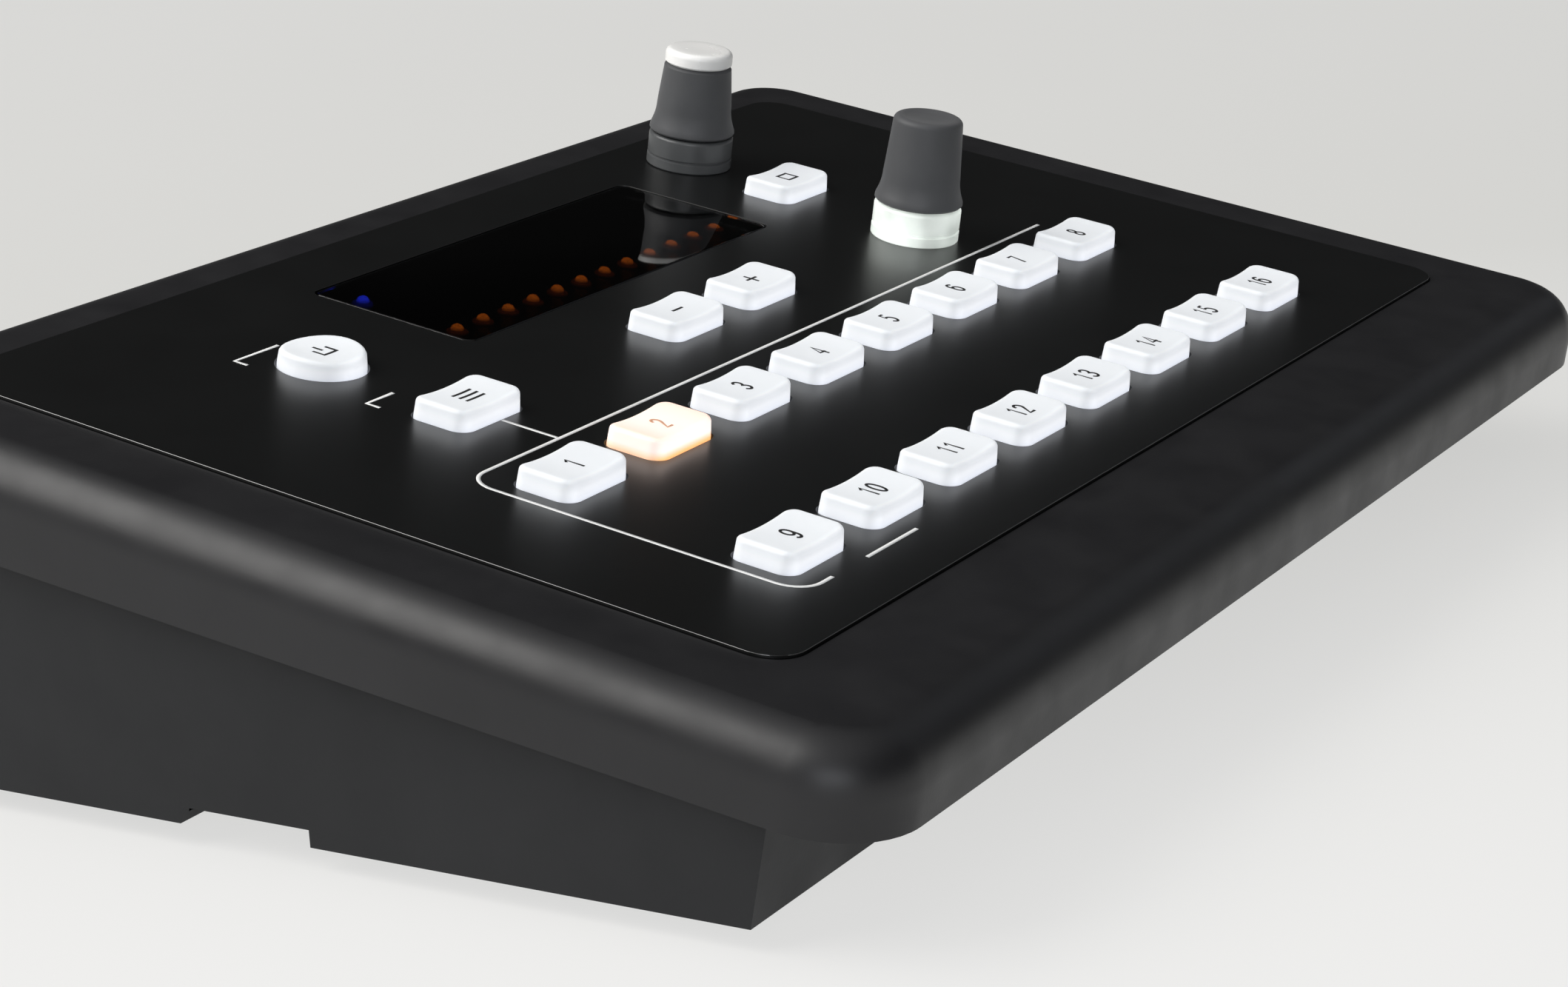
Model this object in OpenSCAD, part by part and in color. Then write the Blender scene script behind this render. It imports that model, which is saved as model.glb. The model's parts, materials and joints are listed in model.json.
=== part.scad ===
// Personal monitor mixer: a sloping control box with two rows of eight channel keys,
// five function keys, a meter window, two rotary knobs and a row of sockets at the back.
// Millimetres. +X is right, +Y is away from the player and +Z is up. The origin lies on
// the table under the middle of the box. Panel heights are measured from the plate's face.

/* [Panel] */
// Slope of the control panel above the table, in degrees
panel_tilt = 10.5; // [7:0.5:13]
// Height of the plate's front edge above the underside of the chassis
panel_front_h = 26.5; // [24:0.5:36]

/* [Top plate] */
// Width of the top plate
plate_w = 203; // [196:1:230]
// Depth of the top plate along the slope
plate_d = 124; // [122:1:142]
// Sheet thickness of the top plate
plate_t = 1.5; // [1:0.1:2]
// Corner radius of the top plate
plate_corner_r = 5; // [2:0.5:8]
// Height of the plate's face above the rim
plate_proud = 0.4; // [0.2:0.1:0.8]

/* [Rim] */
// Width of the rim at the left and right of the plate
rim_side_w = 15.5; // [14:0.5:24]
// Width of the rim in front of the plate
rim_front_w = 21; // [18:0.5:28]
// Width of the rim behind the plate
rim_back_w = 11.5; // [10:0.5:16]
// Radius of the rim's rounded upper edge
rim_edge_r = 6.5; // [5:0.5:9]
// Radius of the rim's corners in plan
rim_corner_r = 11.5; // [10:0.5:14]
// Depth of the rim's front face below the plate's face
rim_skirt = 11.2; // [10.5:0.1:13]
// Angle at which the rim deepens towards the back, in degrees
rim_skirt_fall = 1.3; // [0:0.1:3]
// Wall thickness of the rim
rim_wall = 3; // [2:0.1:3.5]
// Width of the ledge that carries the plate
rim_ledge = 4; // [3:0.5:5]
// Radius of the rim's screw posts
post_r = 4; // [3.5:0.1:4.5]
// Distance of the front screw posts behind the plate's front edge
post_front_y = 12; // [8:1:20]
// Distance of the back screw posts in front of the rear panel
post_back_y = 14; // [10:1:24]

/* [Chassis] */
// Sheet thickness of the chassis
chassis_t = 1.2; // [0.8:0.1:1.6]
// Distance of the chassis floor's back edge in front of the plate's back edge
floor_back_y = 2.5; // [-2:0.5:5]
// Distance of the chassis floor's front edge in front of the plate's front edge
floor_front_y = 1.5; // [-2:0.5:4]
// Forward lean of the chassis front wall, in degrees from upright
front_lean = 12.5; // [8:0.5:16]
// Width of the flanges that carry the rear panel
flange_w = 9; // [7:0.5:12]
// Length of the strap notches in the lower side edges
notch_len = 20; // [14:1:30]
// Height of the strap notches
notch_h = 2.2; // [1.8:0.1:4]
// Reach of the strap notches into the floor
notch_reach = 8; // [5:0.5:10]
// Distance of the strap notches in front of the plate's back edge
notch_back_y = 53; // [46:0.5:66]
// Height of the lower rear screws above the chassis floor
rear_screw_z = 8; // [6:0.5:12]
// Distance between the lower and the upper rear screws
rear_screw_pitch = 18; // [12:0.5:22]

/* [Feet and stand bush] */
// Height of the rubber feet
foot_h = 3; // [2.5:0.5:6]
// Radius of the rubber feet
foot_r = 7; // [5:0.5:8]
// Distance from the chassis edges to the middle of each foot
foot_inset = 20; // [18:1:30]
// Distance of the stand bush in front of the plate's back edge
stand_back_y = 62; // [58:0.5:72]
// Radius of the stand bush's threaded hole, a 3/8 inch thread at its crest
stand_bore_r = 3.97; // [3:0.01:6]
// Radius of the stand bush's barrel
stand_barrel_r = 8; // [7:0.5:10]
// Radius of the stand bush's flange
stand_flange_r = 17; // [13:0.5:20]
// Thickness of the stand bush's flange
stand_flange_t = 2.5; // [1.5:0.1:4]
// Length of the stand bush above the floor
stand_len = 12; // [8:0.5:16]

/* [Keys] */
// Distance of the key rows' middle to the left of the plate's middle
keys_left = 3; // [0:0.5:5]
// Distance between neighbouring channel keys
key_pitch = 20; // [18:0.5:22]
// Width of a key
key_w = 13.8; // [11:0.1:15]
// Depth of a key
key_d = 8.8; // [8:0.1:10.5]
// Height of a key's ends above the plate
key_h = 2.8; // [2.5:0.1:5]
// Corner radius of a key
key_corner_r = 2; // [0.8:0.1:3]
// Depth of the hollow in a key's top
key_scoop = 0.6; // [0.2:0.1:0.9]
// Diameter of the round key
round_key_dia = 11.8; // [10.5:0.1:15]
// Travel of a key
key_travel = 1.2; // [0.6:0.1:1.5]
// Wall thickness of a key
key_wall = 1.4; // [1:0.1:1.8]
// Radius of a key's stem
key_stem_r = 1.6; // [1.2:0.1:1.9]
// Distance of the front key row behind the plate's front edge
front_row_v = 16.2; // [14:0.1:19]
// Distance of the second key row in front of the plate's back edge
second_row_back = 76.7; // [74:0.1:84]
// Distance of the function key row in front of the plate's back edge
function_row_back = 53.9; // [51:0.1:57]
// Distance of the upper keys in front of the plate's back edge
upper_row_back = 30.7; // [28:0.1:33]
// Distance of the left function keys from the key rows' middle
side_key_x = 60; // [58:0.5:66]

/* [Knobs] */
// Distance of the level knob from the key rows' middle
level_x = 54.5; // [50:0.5:64]
// Distance of the level knob in front of the plate's back edge
level_back = 56.7; // [54:0.1:58]
// Distance of the master knob from the key rows' middle
master_x = 59.5; // [58:0.5:70]
// Distance of the master knob in front of the plate's back edge
master_back = 12.3; // [12:0.1:13]
// Height of the knobs' tops above the plate
knob_h = 19; // [16:0.5:24]
// Radius of the knobs at the base
knob_base_r = 6.8; // [6.6:0.1:8]
// Radius of the knobs at the top
knob_top_r = 5.4; // [5:0.1:6.2]
// Height of the light collars under the knobs
collar_h = 5.2; // [4.4:0.1:6]
// Wall thickness of the light collars
collar_wall = 1.2; // [0.8:0.1:1.3]
// Thickness of the master knob's cap
cap_t = 2.4; // [1.5:0.1:3]
// Radius of the control shafts
shaft_r = 3; // [2:0.05:3.2]
// Radius of the threaded bushes round the shafts
bush_r = 3.6; // [3.4:0.05:4]
// Height of the bushes above the plate
bush_h = 4; // [3.2:0.1:4.2]
// Width across the corners of the bush nuts
nut_dia = 10.4; // [9.8:0.1:10.8]
// Thickness of the bush nuts
nut_t = 2; // [1:0.1:2.5]
// Width of the bodies of the rotary controls
control_w = 11.6; // [10.6:0.1:12]

/* [Meter window] */
// Width of the meter window
window_w = 78.5; // [70:0.5:84]
// Depth of the meter window
window_d = 27; // [22:0.5:30]
// Distance of the window's middle to the right of the key rows' middle
window_x = 1.5; // [0:0.5:4]
// Distance of the window's back edge in front of the plate's back edge
window_back = 11.7; // [9:0.1:14]
// Corner radius of the window
window_corner_r = 1.5; // [0.5:0.1:3]
// Thickness of the window below the plate
window_flange_t = 1.5; // [1:0.1:2]
// Width of the window's lip under the plate
window_lip = 2.5; // [1.5:0.5:3]
// Clearance between the window's lip and the upper key's flange
window_key_gap = 7.7; // [5:0.1:9]
// Number of level lamps behind the window
lamp_count = 13; // [6:1:13]
// Distance of the first and last level lamps from the window's ends
lamp_inset = 2.5; // [2.4:0.1:4]
// Radius of a level lamp
lamp_r = 1.5; // [0.8:0.1:2]
// Distance of the level lamps in front of the window's middle
lamp_row_v = 5.2; // [4:0.1:9]

/* [Boards] */
// Depth of the control board's upper face below the plate's face
board_drop = 8.5; // [8:0.1:11]
// Thickness of the circuit boards
board_t = 1.6; // [1:0.1:2]
// Distance from the plate's front and side edges to the control board's edges
board_margin = 5; // [4.5:0.5:8]
// Clearance between the control board and the rear panel
board_rear_gap = 0.8; // [0.5:0.1:3]
// Depth of the main board
main_board_d = 42; // [36:1:46]
// Height of the main board above the chassis floor
main_board_h = 6; // [4:0.5:9]
// Radius of the board standoffs
standoff_r = 2.8; // [2.4:0.1:3.2]
// Width of a key switch
switch_w = 6; // [5:0.1:7]
// Width of the link cable
ribbon_w = 22; // [12:1:30]
// Thickness of the link cable
ribbon_t = 0.9; // [0.6:0.1:1.4]

/* [Sockets] */
// Width of a network socket
network_w = 16; // [14:0.1:18]
// Height of a network socket
network_h = 13.4; // [12:0.1:16]
// Depth of a network socket
network_d = 21; // [18:0.5:26]
// Width of the opening in a network socket
network_port_w = 11.8; // [11:0.1:12.4]
// Height of the opening in a network socket
network_port_h = 8.2; // [7:0.1:9]
// Depth of the opening in a network socket
network_port_d = 14; // [11:0.5:16]
// Clearance between the main board's corner screws and the outer sockets
socket_screw_gap = 1.6; // [1:0.1:4]
// Distance between the two network sockets
network_pitch = 22; // [18.5:0.5:26]
// Distance from the inner network socket to the memory socket
usb_pitch = 26; // [18:1:34]
// Distance from the power inlet to the small headphone jack
mini_jack_pitch = 29.5; // [14:0.5:34]
// Distance from the small headphone jack to the headphone jack
jack_pitch = 24; // [16:0.5:30]
// Radius of the headphone jack's hole
jack_bore_r = 3.2; // [3.18:0.01:3.4]
// Depth of the headphone jack's hole
jack_bore_d = 22; // [18:0.5:24]
// Radius of the small headphone jack's hole
mini_bore_r = 1.8; // [1.76:0.01:1.9]
// Depth of the small headphone jack's hole
mini_bore_d = 11; // [9:0.5:12]
// Radius of the power inlet's hole
dc_bore_r = 3.1; // [2.8:0.05:3.4]
// Radius of the power inlet's pin
dc_pin_r = 1.05; // [0.8:0.05:1.25]

/* [Fits] */
// Clearance round a key in the plate
key_gap = 0.3; // [0.2:0.05:0.6]
// Clearance between fixed pieces that slide together
slip_gap = 0.2; // [0.1:0.05:0.4]
// Clearance under moving pieces
rest_gap = 0.3; // [0.2:0.05:0.5]
// Clearance of a shaft in its bush
running_gap = 0.05; // [0.02:0.01:0.1]
// Clearance of a screw in its thread
thread_gap = 0.1; // [0.05:0.01:0.2]
// Radius of the case and board screws
screw_r = 1.25; // [1:0.05:1.5]
// Radius of a screw head
screw_head_r = 2.6; // [2.2:0.1:3]
// Thickness of a screw head
screw_head_t = 1.6; // [1:0.1:2]
// Reach of the case screws into the posts
case_screw_reach = 10; // [6:0.5:12]

/* [Hidden] */
$fn = 64;
eps = 0.01;
far = 400;

channel_count = 16;
keys_per_row = 8;
function two_digits(i) = i < 10 ? str("0", i) : str(i);
channel_names = [for (i = [1:channel_count]) str("key_", two_digits(i))];
function_names = ["recall_key", "left_function_key", "right_function_key", "upper_key", "round_key"];

// Overall sizes of the rim, along the slope
rim_w = plate_w + 2 * rim_side_w;
rim_d = rim_front_w + plate_d + rim_back_w;
rim_slab_h = 60;
rim_inner_edge_r = max(rim_edge_r - rim_wall, 1);
rim_inner_corner_r = max(rim_corner_r - rim_wall, rim_inner_edge_r);

// Place of the plate's front edge, with the whole box centred over the origin
tilt_sin = sin(panel_tilt);
tilt_cos = cos(panel_tilt);
rim_foremost = (rim_edge_r - rim_front_w) * tilt_cos + (rim_edge_r + plate_proud) * tilt_sin - rim_edge_r;
rim_back_drop = rim_skirt + rim_d * tan(rim_skirt_fall);
rim_rearmost = (plate_d + rim_back_w) * tilt_cos + rim_back_drop * tilt_sin;
panel_y = -(rim_foremost + rim_rearmost) / 2;
panel_z = foot_h + panel_front_h;

// Chassis
floor_z = foot_h + chassis_t;
chassis_w = rim_w - 2 * (rim_wall + slip_gap);
plate_back = panel_y + plate_d * tilt_cos;
chassis_front = panel_y - floor_front_y;
chassis_back = plate_back - floor_back_y;
rear_front = chassis_back - chassis_t;
wall_top_n = -plate_proud - rim_wall - rim_inner_edge_r - rest_gap;
foot_taper = 0.6;
notch_mid = plate_back - notch_back_y;
stand_y = plate_back - stand_back_y;

// Screw posts
post_side_gap = 1;
post_x = plate_w / 2 + slip_gap + post_r + post_side_gap;
post_places = [
    for (x = [-post_x, post_x], y = [panel_y + post_front_y, rear_front - post_back_y]) [x, y]
];

// Keys, heights from the plate's face
key_flange_t = 1;
key_flange_w = 1.2;
key_roof = 1.2;
key_flange_top = -plate_t - rest_gap;
key_flange_bottom = key_flange_top - key_flange_t;
switch_top = key_flange_bottom - key_travel - rest_gap;
switch_floor_t = 0.7;
stem_tip = -board_drop + switch_floor_t + key_travel + rest_gap;
key_led = [1.6, 3, 1];
key_led_gap = 0.5;
scoop_r = (key_w * key_w / 4 + key_scoop * key_scoop) / (2 * key_scoop);
second_row_v = plate_d - second_row_back;
function_row_v = plate_d - function_row_back;
upper_row_v = plate_d - upper_row_back;
keys_x = -keys_left;
window_mid_x = keys_x + window_x;
window_right_x = window_mid_x + window_w / 2 + window_lip;
upper_key_x = window_right_x + window_key_gap + key_flange_w + key_gap + key_w / 2;
channel_places = [
    for (i = [0:channel_count - 1])
        [
            keys_x + (i % keys_per_row - (keys_per_row - 1) / 2) * key_pitch,
            i < keys_per_row ? second_row_v : front_row_v
        ]
];
function_places = [
    [keys_x - side_key_x, function_row_v],
    [keys_x - key_pitch / 2, function_row_v],
    [keys_x + key_pitch / 2, function_row_v],
    [upper_key_x, upper_row_v],
    [keys_x - side_key_x, upper_row_v]
];
round_key_index = 4;
rect_places = concat(channel_places, [for (i = [0:round_key_index - 1]) function_places[i]]);
round_place = function_places[round_key_index];
key_places = concat(rect_places, [round_place]);

// Rotary controls
level_place = [keys_x + level_x, plate_d - level_back];
master_place = [keys_x + master_x, plate_d - master_back];
control_places = [level_place, master_place];
control_top = -plate_t - slip_gap;
control_base_t = 2;
knob_roof = 2.5;
shaft_bottom = -board_drop + control_base_t;
shaft_top = knob_h - cap_t - knob_roof;
knob_bottom = collar_h + rest_gap;
knob_edge_r = 0.8;
knob_skirt_h = 2;
cap_spigot_r = 3.6;
cap_spigot_h = 1.2;

// Meter
window_v = plate_d - window_back - window_d / 2;
module_margin = 0.8;
lamp_h = 1;
module_top = -plate_t - window_flange_t - lamp_h - rest_gap;
first_lamp_x = window_mid_x - window_w / 2 + lamp_inset;
lamp_pitch = (window_w - 2 * lamp_inset) / (lamp_count - 1);

// Boards
board_bottom = -board_drop - board_t;
board_w = plate_w - 2 * board_margin;
board_back_v = (rear_front - panel_y - board_rear_gap + board_bottom * tilt_sin) / tilt_cos;
board_d = board_back_v - board_margin;
standoff_inset = 6;
key_rows_end = keys_left + (keys_per_row - 1) / 2 * key_pitch + key_w / 2 + key_gap + key_flange_w;
standoff_x = (key_rows_end + plate_w / 2 - rim_ledge) / 2;
standoff_places = concat(
    [
        for (
            x = [-standoff_x, standoff_x],
            v = [
                board_margin + standoff_inset,
                (second_row_v + function_row_v) / 2,
                board_back_v - standoff_inset
            ]
        ) [x, v]
    ],
    [[keys_x, (second_row_v + function_row_v) / 2]]
);
board_screw_reach = 4;
board_post_gap = 3;
main_board_w = 2 * (post_x - post_r - board_post_gap);
main_board_z = floor_z + main_board_h;
main_board_top = main_board_z + board_t;
main_board_back = rear_front - rest_gap;
main_board_front = main_board_back - main_board_d;
main_standoff_places = [
    for (
        x = [-main_board_w / 2 + standoff_inset, main_board_w / 2 - standoff_inset],
        y = [main_board_front + standoff_inset, main_board_back - standoff_inset]
    ) [x, y]
];
header_margin = 2;
header_w = ribbon_w + 2 * header_margin;
header_d = 6;
header_h = 8;
ribbon_x = -50;
ribbon_y = main_board_front + header_d;
ribbon_bite = 3;
power_w = 46;
power_h = 13;
power_x = 20;
power_front_gap = 3;
power_back_gap = 5;
power_d = main_board_d - network_d - power_front_gap - power_back_gap;

// Sockets
socket_proud = 0.4;
socket_face = chassis_back + socket_proud;
socket_end_x = main_board_w / 2 - standoff_inset - screw_head_r - socket_screw_gap;
network_outer_x = socket_end_x - network_w / 2;
network_x = [network_outer_x, network_outer_x - network_pitch];
usb_x = network_x[1] - usb_pitch;
dc_body = [9, 14, 11];
dc_bore_d = 10;
dc_bore_h = 6.5;
dc_x = dc_body[0] / 2 - socket_end_x;
dc_z = main_board_top + dc_bore_h;
mini_jack_x = dc_x + mini_jack_pitch;
jack_x = mini_jack_x + jack_pitch;
jack_body = [16, 20, 14];
jack_bush_r = 4.6;
jack_bush_len = 4;
jack_nut_dia = 14;
jack_nut_t = 2;
jack_z = main_board_top + jack_body[2] / 2;
mini_body = [8, 11, 7];
mini_barrel_r = 2.9;
mini_barrel_proud = 1;
mini_barrel_len = chassis_t + mini_barrel_proud;
mini_z = main_board_top + mini_body[2] / 2;
usb_body = [14.4, 15, 7];
usb_port = [12.4, 11, 5.2];
usb_tongue = [11, 8, 1.8];
flange_screw_z = [floor_z + rear_screw_z, floor_z + rear_screw_z + rear_screw_pitch];
rear_screw_reach = 5;

// Height of a line parallel to the panel, n above the plate's face, at a given y
function panel_height(y, n) = panel_z + (y - panel_y) * tan(panel_tilt) + n / tilt_cos;

// Side outline of the chassis, drawn out by grow at the front and back and up to height n
function chassis_outline(grow, n) =
    let (
        lean = tan(front_lean),
        front = chassis_front - grow,
        top = (panel_height(front + foot_h * lean, n)) / (1 + lean * tan(panel_tilt))
    )
    [
        [front, foot_h],
        [chassis_back + grow, foot_h],
        [chassis_back + grow, panel_height(chassis_back + grow, n)],
        [front - (top - foot_h) * lean, top]
    ];

// Puts what is drawn on the panel, with y along the slope, in its place on the box
module on_panel() {
    translate([0, panel_y, panel_z])
        rotate([panel_tilt, 0, 0])
            children();
}

module at_panel(place) {
    on_panel()
        translate([place[0], place[1], 0])
            children();
}

module rounded_rect(w, d, r) {
    square([w - 2 * r, d], center = true);
    square([w, d - 2 * r], center = true);
    for (x = [-1, 1], y = [-1, 1])
        translate([x * (w / 2 - r), y * (d / 2 - r)])
            circle(r);
}

module block(size, centre, z) {
    translate([centre[0] - size[0] / 2, centre[1] - size[1] / 2, z])
        cube(size);
}

// Edge in section: r wide and h deep, with its outer upper corner rounded to radius e
module edge_section(r, e, h) {
    difference() {
        translate([0, -h])
            square([r, h]);
        difference() {
            translate([r - e, -e])
                square(2 * e);
            translate([r - e, -e])
                circle(e);
        }
    }
}

// Slab with its top at z = 0, rounded in plan and along its upper edge
module rounded_slab(w, d, h, r, e) {
    block([w - 2 * r, d - 2 * r, h], [0, 0], -h);
    for (side = [0, 1]) {
        mirror([0, side, 0])
            translate([-w / 2 + r, d / 2 - r, 0])
                rotate([90, 0, 90])
                    linear_extrude(w - 2 * r)
                        edge_section(r, e, h);
        mirror([side, 0, 0])
            translate([w / 2 - r, d / 2 - r, 0])
                rotate([90, 0, 0])
                    linear_extrude(d - 2 * r)
                        edge_section(r, e, h);
    }
    for (x = [0, 1], y = [0, 1])
        mirror([x, 0, 0])
            mirror([0, y, 0])
                translate([w / 2 - r, d / 2 - r, 0])
                    rotate_extrude(angle = 90)
                        edge_section(r, e, h);
}

// Space below the rim's lower edge, raised by lift
module below_skirt(lift) {
    translate([0, -rim_front_w, -rim_skirt])
        rotate([-rim_skirt_fall, 0, 0])
            translate([-far / 2, -far / 2, lift - far])
                cube([far, 2 * far, far]);
}

module plate_outline(grow) {
    translate([0, plate_d / 2])
        rounded_rect(plate_w + 2 * grow, plate_d + 2 * grow, plate_corner_r + grow);
}

// Plan of a rectangular or round key, drawn out by grow
module rect_key_outline(grow) {
    rounded_rect(key_w + 2 * grow, key_d + 2 * grow, max(key_corner_r + grow, 0.3));
}

module round_key_outline(grow) {
    circle(round_key_dia / 2 + grow);
}

module window_outline(grow) {
    translate([window_mid_x, window_v])
        rounded_rect(window_w + 2 * grow, window_d + 2 * grow, window_corner_r + grow);
}

module top_plate() {
    color("#1b1c1c")
        on_panel()
            translate([0, 0, -plate_t])
                linear_extrude(plate_t)
                    difference() {
                        plate_outline(0);
                        for (place = rect_places)
                            translate(place)
                                rect_key_outline(key_gap);
                        translate(round_place)
                            round_key_outline(key_gap);
                        for (place = control_places)
                            translate(place)
                                circle(bush_r + slip_gap);
                        window_outline(slip_gap);
                    }
}

// Slab of the rim's outline, drawn in and lowered by inset
module rim_slab(inset, r, e) {
    on_panel()
        translate([0, rim_d / 2 - rim_front_w, -plate_proud - inset])
            rounded_slab(rim_w - 2 * inset, rim_d - 2 * inset, rim_slab_h, r, e);
}

// Lower flange of the rim, open where the chassis comes up through it
module rim_soffit() {
    difference() {
        on_panel()
            below_skirt(rim_wall);
        chassis_block(far, slip_gap, rim_slab_h);
    }
}

module rim_frame() {
    color("#2d2e31") {
        difference() {
            rim_slab(0, rim_corner_r, rim_edge_r);
            difference() {
                rim_slab(rim_wall, rim_inner_corner_r, rim_inner_edge_r);
                rim_soffit();
            }
            on_panel() {
                below_skirt(0);
                translate([0, 0, -plate_t])
                    linear_extrude(far)
                        plate_outline(slip_gap);
                translate([0, 0, -far / 2])
                    linear_extrude(far)
                        plate_outline(-rim_ledge);
            }
        }
        for (place = post_places)
            rim_post(place);
    }
}

// Screw post from the rim's top down to the chassis floor, with a blind thread
module rim_post(place) {
    top = panel_height(place[1], -plate_proud - rim_wall / 2);
    difference() {
        translate([place[0], place[1], floor_z])
            cylinder(r = post_r, h = top - floor_z);
        translate([place[0], place[1], floor_z - eps])
            cylinder(r = screw_r + thread_gap, h = case_screw_reach + 2);
    }
}

// Solid of the chassis outline
module chassis_block(w, grow, n) {
    translate([-w / 2, 0, 0])
        rotate([90, 0, 90])
            linear_extrude(w)
                polygon(chassis_outline(grow, n));
}

module chassis_tray() {
    inner_w = chassis_w - 2 * chassis_t;
    flange_y = rear_front - chassis_t;
    color("#323335")
        difference() {
            union() {
                difference() {
                    chassis_block(chassis_w, 0, wall_top_n);
                    translate([-inner_w / 2, chassis_t / cos(front_lean), chassis_t])
                        rotate([90, 0, 90])
                            linear_extrude(inner_w)
                                polygon(chassis_cavity());
                }
                intersection() {
                    for (x = [-1, 1])
                        block(
                            [flange_w, chassis_t, far],
                            [x * (inner_w - flange_w + eps) / 2, flange_y + chassis_t / 2],
                            foot_h
                        );
                    chassis_block(chassis_w, 0, wall_top_n);
                }
            }
            for (side = [0, 1])
                mirror([side, 0, 0])
                    strap_notch();
            for (place = post_places)
                translate([place[0], place[1], 0])
                    cylinder(r = screw_r + slip_gap, h = floor_z + eps);
            translate([0, stand_y, 0])
                cylinder(r = stand_barrel_r + thread_gap, h = floor_z + eps);
            for (x = [-1, 1], z = flange_screw_z)
                translate([x * (inner_w - flange_w) / 2, flange_y - 1, z])
                    rotate([-90, 0, 0])
                        cylinder(r = screw_r + thread_gap, h = chassis_t + 2);
        }
}

// Side outline of the space in the chassis, open at the top and the back
function chassis_cavity() =
    let (lean = tan(front_lean))
    [
        [chassis_front - chassis_t * lean, foot_h],
        [chassis_back + far, foot_h],
        [chassis_back + far, far],
        [chassis_front - (far - foot_h + chassis_t) * lean, far]
    ];

module strap_notch() {
    translate([chassis_w / 2 - notch_reach, notch_mid, foot_h])
        rotate([90, 0, 90])
            linear_extrude(notch_reach + 1)
                polygon([
                    [-notch_len / 2, -1],
                    [notch_len / 2, -1],
                    [notch_len / 2 - notch_h / 2, notch_h],
                    [-notch_len / 2, notch_h]
                ]);
}

module rear_panel() {
    inner_w = chassis_w - 2 * (chassis_t + slip_gap);
    color("#2a2b2d")
        difference() {
            intersection() {
                block([inner_w, chassis_t, far], [0, rear_front + chassis_t / 2], floor_z + slip_gap);
                chassis_block(chassis_w, 0, wall_top_n);
            }
            for (x = network_x)
                socket_hole([network_w, network_h], x, main_board_top);
            socket_hole([usb_body[0], usb_body[2]], usb_x, main_board_top);
            socket_hole([dc_body[0], dc_body[2]], dc_x, main_board_top);
            round_socket_hole(jack_bush_r, jack_x, jack_z);
            round_socket_hole(mini_barrel_r, mini_jack_x, mini_z);
            for (x = [-1, 1], z = flange_screw_z)
                round_socket_hole(screw_r, x * (chassis_w / 2 - chassis_t - flange_w / 2), z);
        }
}

module socket_hole(size, x, z) {
    block(
        [size[0] + 2 * rest_gap, 4 * chassis_t, size[1] + 2 * rest_gap],
        [x, chassis_back],
        z - rest_gap
    );
}

module round_socket_hole(r, x, z) {
    translate([x, rear_front - 1, z])
        rotate([-90, 0, 0])
            cylinder(r = r + slip_gap, h = chassis_t + 2);
}

module stand_bush() {
    color("#8d8f92")
        difference() {
            union() {
                translate([0, stand_y, foot_h])
                    cylinder(r = stand_barrel_r, h = chassis_t + stand_len);
                translate([0, stand_y, floor_z])
                    cylinder(r = stand_flange_r, h = stand_flange_t);
            }
            translate([0, stand_y, 0])
                cylinder(r = stand_bore_r, h = far);
        }
}

module rubber_feet() {
    color("#141414")
        for (x = [-1, 1], y = [chassis_front + foot_inset, chassis_back - foot_inset])
            translate([x * (chassis_w / 2 - foot_inset), y, 0])
                cylinder(r1 = foot_r - foot_taper, r2 = foot_r, h = foot_h);
}

// Pan-head screw, head down, with the underside of its head at z = 0
module screw(reach) {
    translate([0, 0, -screw_head_t])
        cylinder(r = screw_head_r, h = screw_head_t);
    translate([0, 0, -eps])
        cylinder(r = screw_r, h = reach + eps);
}

module case_screws() {
    color("#3a3a3a")
        for (place = post_places)
            translate([place[0], place[1], foot_h])
                screw(chassis_t + case_screw_reach);
}

module rear_panel_screws() {
    color("#3a3a3a")
        for (x = [-1, 1], z = flange_screw_z)
            translate([x * (chassis_w / 2 - chassis_t - flange_w / 2), chassis_back, z])
                rotate([90, 0, 0])
                    screw(rear_screw_reach);
}

module control_board() {
    color("#1e4a2e")
        on_panel()
            difference() {
                block([board_w, board_d, board_t], [0, board_margin + board_d / 2], board_bottom);
                for (place = standoff_places)
                    translate([place[0], place[1], board_bottom - 1])
                        cylinder(r = screw_r + slip_gap, h = board_t + 2);
            }
}

module control_standoffs() {
    color("#b9bcc0")
        for (place = standoff_places)
            at_panel(place)
                difference() {
                    translate([0, 0, -board_drop])
                        cylinder(r = standoff_r, h = board_drop - plate_t);
                    translate([0, 0, -board_drop - eps])
                        cylinder(r = screw_r + thread_gap, h = board_screw_reach + 1);
                }
}

module control_board_screws() {
    color("#b9bcc0")
        for (place = standoff_places)
            at_panel(place)
                translate([0, 0, board_bottom])
                    screw(board_t + board_screw_reach);
}

module key_switches() {
    color("#26272a")
        for (place = key_places)
            at_panel(place)
                difference() {
                    block([switch_w, switch_w, board_drop + switch_top], [0, 0], -board_drop);
                    translate([0, 0, -board_drop + switch_floor_t])
                        cylinder(r = key_stem_r + rest_gap, h = far);
                }
}

module key_leds() {
    color("#fff3d8")
        for (place = key_places)
            at_panel(place)
                block(key_led, [switch_w / 2 + key_led_gap + key_led[0] / 2, 0], -board_drop);
}

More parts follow.
